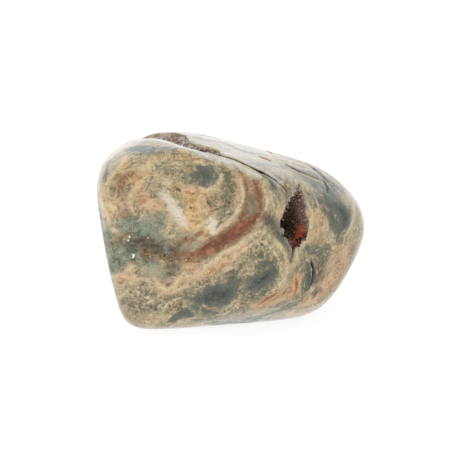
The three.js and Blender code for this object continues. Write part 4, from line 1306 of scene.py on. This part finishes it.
def druse_form(hollow, ends, rows, columns, count, sizes, seed, recess, free_of=None):
    """A thin lining on a hollow's wall with crystals that stand all over it."""
    chance = random.Random(seed)
    lining = bmesh.new()
    bmesh.ops.create_grid(lining, x_segments=rows, y_segments=columns, size=1)
    for vertex in lining.verts:
        along = ends[0] + (ends[1] - ends[0]) * (vertex.co.x + 1) / 2
        place = Vector(lining_place(hollow, along, vertex.co.y, recess))
        bump = noise.noise(place / BUMP_SCALE + Vector((seed, 0, 0))) * BUMP_HEIGHT
        vertex.co = place * (1 + bump / place.length)
    near = [vertex for vertex in lining.verts if too_near(vertex.co, free_of)]
    bmesh.ops.delete(lining, geom=near, context="VERTS")
    lining.normal_update()
    outwards = Vector(hollow.skin[len(hollow.skin) // 2])
    if sum(face.normal.dot(outwards) for face in lining.faces) < 0:
        bmesh.ops.reverse_faces(lining, faces=lining.faces[:])
        lining.normal_update()
    seats = [(vertex.co.copy(), vertex.normal.copy()) for vertex in lining.verts]
    bmesh.ops.solidify(lining, geom=lining.faces[:], thickness=CRUST_WALL)
    template = crystal_form()
    for _ in range(count):
        place, normal = chance.choice(seats)
        place = place + Vector([chance.gauss(0, CRYSTAL_STRAY) for axis in range(3)])
        size = chance.uniform(*sizes) * chance.choice(CRYSTAL_SIZES)
        width = size * chance.uniform(*CRYSTAL_WIDTHS)
        lean = normal + Vector([chance.gauss(0, CRYSTAL_LEAN) for axis in range(3)])
        if too_near(place, free_of):
            continue
        spin = Matrix.Rotation(chance.uniform(0, FULL_TURN), 4, "Z")
        turn = lean.to_track_quat("Z", "Y").to_matrix().to_4x4() @ spin
        seat = Matrix.Translation(place - normal * CRYSTAL_SINK)
        crystal = template.copy()
        crystal.transform(seat @ turn @ Matrix.Diagonal((width, width, size, 1)))
        lining.from_mesh(crystal)
        bpy.data.meshes.remove(crystal)
    bpy.data.meshes.remove(template)
    return lining


# Between which depths below the rim, in millimetres, a deep stain comes and goes; the depth over which
# the painted shade comes; and how a stain's edge wanders, softens and brightens in specks
STAIN_FROM = (0.6, 1.1)
STAIN_TO = (1.6, 2.4)
SHADE_OVER = 1.4
STAIN_WANDER = 2.0
STAIN_SOFTNESS = 0.4
STAIN_BRIGHTER = 1.5


def druse_finish(name, deep, middle, bright, glint, shade_from, axis, stains, deep_stains=()):
    """Crystals stained with iron, with bright specks, and darkened in the depths with painted shade. Each
    stain has its middle and half width along an axis in millimetres, its share and its colour; deep ones lie
    low."""
    look = Finish(name)
    depth = look.three("below_rim")[0]
    along = look.split(look.place)[axis]
    patch = look.cloud(0.5, 3, 0.55)
    speck = look.cloud(3.2, 3, 0.6)
    colour = look.tinted(look.between(speck, 0.38, 0.6, middle, bright), (patch, 0.56, 0.44, 0.6, glint))

    def stained(under, centre, half, share, tone):
        """The colour under a stain that lies about a place along the axis."""
        away = look.math("ABSOLUTE", look.add(along, -centre))
        away = look.add(away, look.times(look.minus(patch, 0.5), STAIN_WANDER))
        brighter = tuple(STAIN_BRIGHTER * level for level in tone[:3]) + (1,)
        inside = look.step(away, half + STAIN_SOFTNESS, half - STAIN_SOFTNESS)
        return look.blend(look.times(inside, share), under, look.between(speck, 0.38, 0.62, tone, brighter))

    for stain in stains:
        colour = stained(colour, *stain)
    # Painted shade: the crystals darken towards the deep tone below a depth
    colour = look.tinted(colour, (depth, shade_from, shade_from + SHADE_OVER, 1, deep))
    for centre, half, share, tone in deep_stains:
        low_share = look.times(look.step(depth, *STAIN_FROM), look.step(depth, *STAIN_TO, share, 0))
        colour = stained(colour, centre, half, low_share, tone)
    look.feed(look.shader.inputs["Base Color"], colour)
    look.feed(look.shader.inputs["Roughness"], look.step(speck, 0.35, 0.65, 0.12, 0.32))
    look.fix(IOR=QUARTZ_IOR, Coat_Weight=0.4, Coat_Roughness=0.08)
    look.relief(look.cloud(7.0, 2, 0.5), strength=0.3, distance=0.03)
    return look.material


# How far and how softly the knobs keep the pocket's painted shade off themselves
KNOB_SHARE = 0.5
KNOB_SOFTNESS = 3


def make_stone():
    """The polished stone, with all its marks held as distances for the finish to draw."""
    ball = fine_ball()
    skin, stain, edge = shape_stone(ball)
    stone = piece_of("fine_jasper", ball, "jasper_stone", polished_finish())
    knob = np.clip(KNOB_SHARE - gap_to(skin, knob_places) * KNOB_SOFTNESS, 0, 1)
    kept = {kind: gap_to(skin, places) for kind, places in mark_places.items()}
    kept["flow"] = gap_to(skin, rail_samples(), most=HEART_HEIGHT)
    # Painted shade for the hollows' depth, kept off the knobs
    kept["depth"] = stain * (1 - knob)
    kept["edge"] = edge + knob
    for name, kinds in MARK_SETS.items():
        store(stone.data, name, [kept[kind] for kind in kinds])


def make_druse(name, hollow, node, slot, finish, **form):
    """One hollow's crust of crystals, with its depth below the rim kept for the finish."""
    druse = druse_form(hollow, **form)
    places = np.array([vertex.co[:] for vertex in druse.verts])
    lengths = np.linalg.norm(places, axis=1)
    below = reach(places / lengths[:, None]) - lengths
    piece = piece_of(name, druse, node, finish)
    for polygon in piece.data.polygons:
        polygon.use_smooth = False
    store(piece.data, "below_rim", [below])


# The camera's near and far limits, in metres
NEAREST_SEEN = 0.01
FARTHEST_SEEN = 20


def make_camera():
    """The camera at the photograph's angle, with the stone at the same place and scale in its frame."""
    back, right, up = camera_axes()
    eye = (np.array(AIM) + back * VIEW_DISTANCE) * MM
    camera = bpy.data.objects.new("stone_camera", bpy.data.cameras.new("stone_camera"))
    camera.data.sensor_width = SENSOR
    camera.data.lens = SENSOR * VIEW_DISTANCE * PIXELS_PER_MM / PICTURE
    camera.data.clip_start = NEAREST_SEEN
    camera.data.clip_end = FARTHEST_SEEN
    turn = Matrix(np.column_stack([right, up, back]).tolist()).to_4x4()
    camera.matrix_world = Matrix.Translation(eye) @ turn
    bpy.context.scene.collection.objects.link(camera)
    bpy.context.scene.camera = camera


# The floor and the room, in metres. A lamp has a name, a place, a size and its watts.
FLOOR_SIZE = 3.0
FLOOR_GLOW = 0.86
FLOOR_TONES = ((0.21, 0.21, 0.21, 1), (0.23, 0.23, 0.23, 1))
WHITE = (1, 1, 1, 1)
ROOM_LIGHT = 0.88
ROOM_SLOPE = 0.05
BACK_LIGHT = 0.2
BACK_FROM = 0.2
LAMP_AIM = (0, 0, 0.012)
LAMPS = [
    ("soft_top", (-0.15, -0.05, 0.5), 0.4, 0.4),
    ("soft_front", (-0.3, -0.4, 0.35), 0.35, 1.0),
]


def make_floor():
    """A plain white floor under the stone."""
    form = bmesh.new()
    bmesh.ops.create_grid(form, x_segments=1, y_segments=1, size=FLOOR_SIZE)
    mesh = bpy.data.meshes.new("white_floor")
    form.to_mesh(mesh)
    form.free()
    look = Finish("white_floor")
    look.feed(look.shader.inputs["Base Color"], look.blend(look.cloud(0.02, 2, 0.5), *FLOOR_TONES))
    look.fix(Roughness=0.9, Emission_Color=WHITE, Emission_Strength=FLOOR_GLOW)
    mesh.materials.append(look.material)
    floor = bpy.data.objects.new("white_floor", mesh)
    bpy.context.scene.collection.objects.link(floor)


def make_light():
    """A white room, brighter behind the stone than in front, and two soft lamps."""
    world = bpy.data.worlds.new("white_room")
    world.use_nodes = True
    nodes, links = world.node_tree.nodes, world.node_tree.links
    direction = nodes.new("ShaderNodeTexCoord")
    split = nodes.new("ShaderNodeSeparateXYZ")
    slope = nodes.new("ShaderNodeMath")
    slope.operation = "MULTIPLY_ADD"
    slope.inputs[1].default_value = ROOM_SLOPE
    slope.inputs[2].default_value = ROOM_LIGHT
    back = nodes.new("ShaderNodeMapRange")
    back.interpolation_type = "SMOOTHSTEP"
    back.inputs["From Min"].default_value = BACK_FROM
    back.inputs["To Max"].default_value = BACK_LIGHT
    both = nodes.new("ShaderNodeMath")
    links.new(direction.outputs["Generated"], split.inputs[0])
    links.new(split.outputs["Y"], slope.inputs[0])
    links.new(split.outputs["Y"], back.inputs["Value"])
    links.new(slope.outputs[0], both.inputs[0])
    links.new(back.outputs[0], both.inputs[1])
    links.new(both.outputs[0], nodes["Background"].inputs["Strength"])
    nodes["Background"].inputs["Color"].default_value = WHITE
    bpy.context.scene.world = world
    for name, place, size, watts in LAMPS:
        lamp = bpy.data.lights.new(name, "AREA")
        lamp.size = size
        lamp.energy = watts
        holder = bpy.data.objects.new(name, lamp)
        holder.visible_glossy = False
        turn = (Vector(place) - Vector(LAMP_AIM)).to_track_quat("Z", "Y").to_matrix().to_4x4()
        holder.matrix_world = Matrix.Translation(place) @ turn
        bpy.context.scene.collection.objects.link(holder)
    bpy.context.scene.view_settings.view_transform = "Standard"


def height_at(pixel):
    """How high in the frame the place lies that a pixel shows."""
    return seen(*pixel)[2] + HEART[2]


def column_place(column):
    """How far right of the picture's middle a column of pixels lies."""
    return (column - PICTURE / 2) / PIXELS_PER_MM


# Where the druse's stains lie: in the pocket at its tip and on its far wall, with painted shade at its foot,
# as pixels that give heights, and along the crevice as columns of pixels, which give places from left to
# right
TIP_PIXEL = (297, 198)
RED_PIXEL = (303, 232)
FOOT_PIXEL = (292, 244)
WARM_COLUMN = 174
GREY_COLUMN = 207
TIP_RISE = 0.7
RED_FALL = 0.9

make_camera()
make_floor()
make_light()
make_stone()

tip_stain = (height_at(TIP_PIXEL) + TIP_RISE, 1.2, 0.85, paint(184, 166, 152))
# Painted shade: the pocket's foot is darkened where little light reaches
foot_shade = (height_at(FOOT_PIXEL), 0.8, 0.8, paint(82, 62, 54))
red_stain = (height_at(RED_PIXEL) - RED_FALL, 1.2, 0.75, paint(176, 96, 76))
warm_stain = (column_place(WARM_COLUMN), 0.9, 0.55, paint(174, 136, 122))
grey_stain = (column_place(GREY_COLUMN), 1.8, 0.8, paint(150, 124, 108))
# The first colour of each druse is its painted shade in the depths
red_druse = druse_finish("red_druse", paint(102, 84, 74), paint(128, 105, 94), paint(158, 132, 118),
                         paint(138, 96, 82), shade_from=0.9, axis=2, stains=[tip_stain, foot_shade],
                         deep_stains=[red_stain])
brown_druse = druse_finish("brown_druse", paint(140, 130, 120), paint(204, 196, 186), paint(238, 234, 226),
                           paint(192, 166, 150), shade_from=2.4, axis=0, stains=[warm_stain, grey_stain])
make_druse("pocket_druse", pocket, "pocket_crystals", "red_druse", red_druse, ends=(0.02, 0.7), rows=52,
           columns=30, count=1200, sizes=(0.22, 0.44), seed=41, recess=0.28,
           free_of=np.append(knob_places[0, :3], KNOB_CLEARING))
make_druse("crevice_druse", crevice, "crevice_crystals", "brown_druse", brown_druse, ends=(0.05, 0.87),
           rows=118, columns=22, count=900, sizes=(0.28, 0.5), seed=43, recess=0.7)
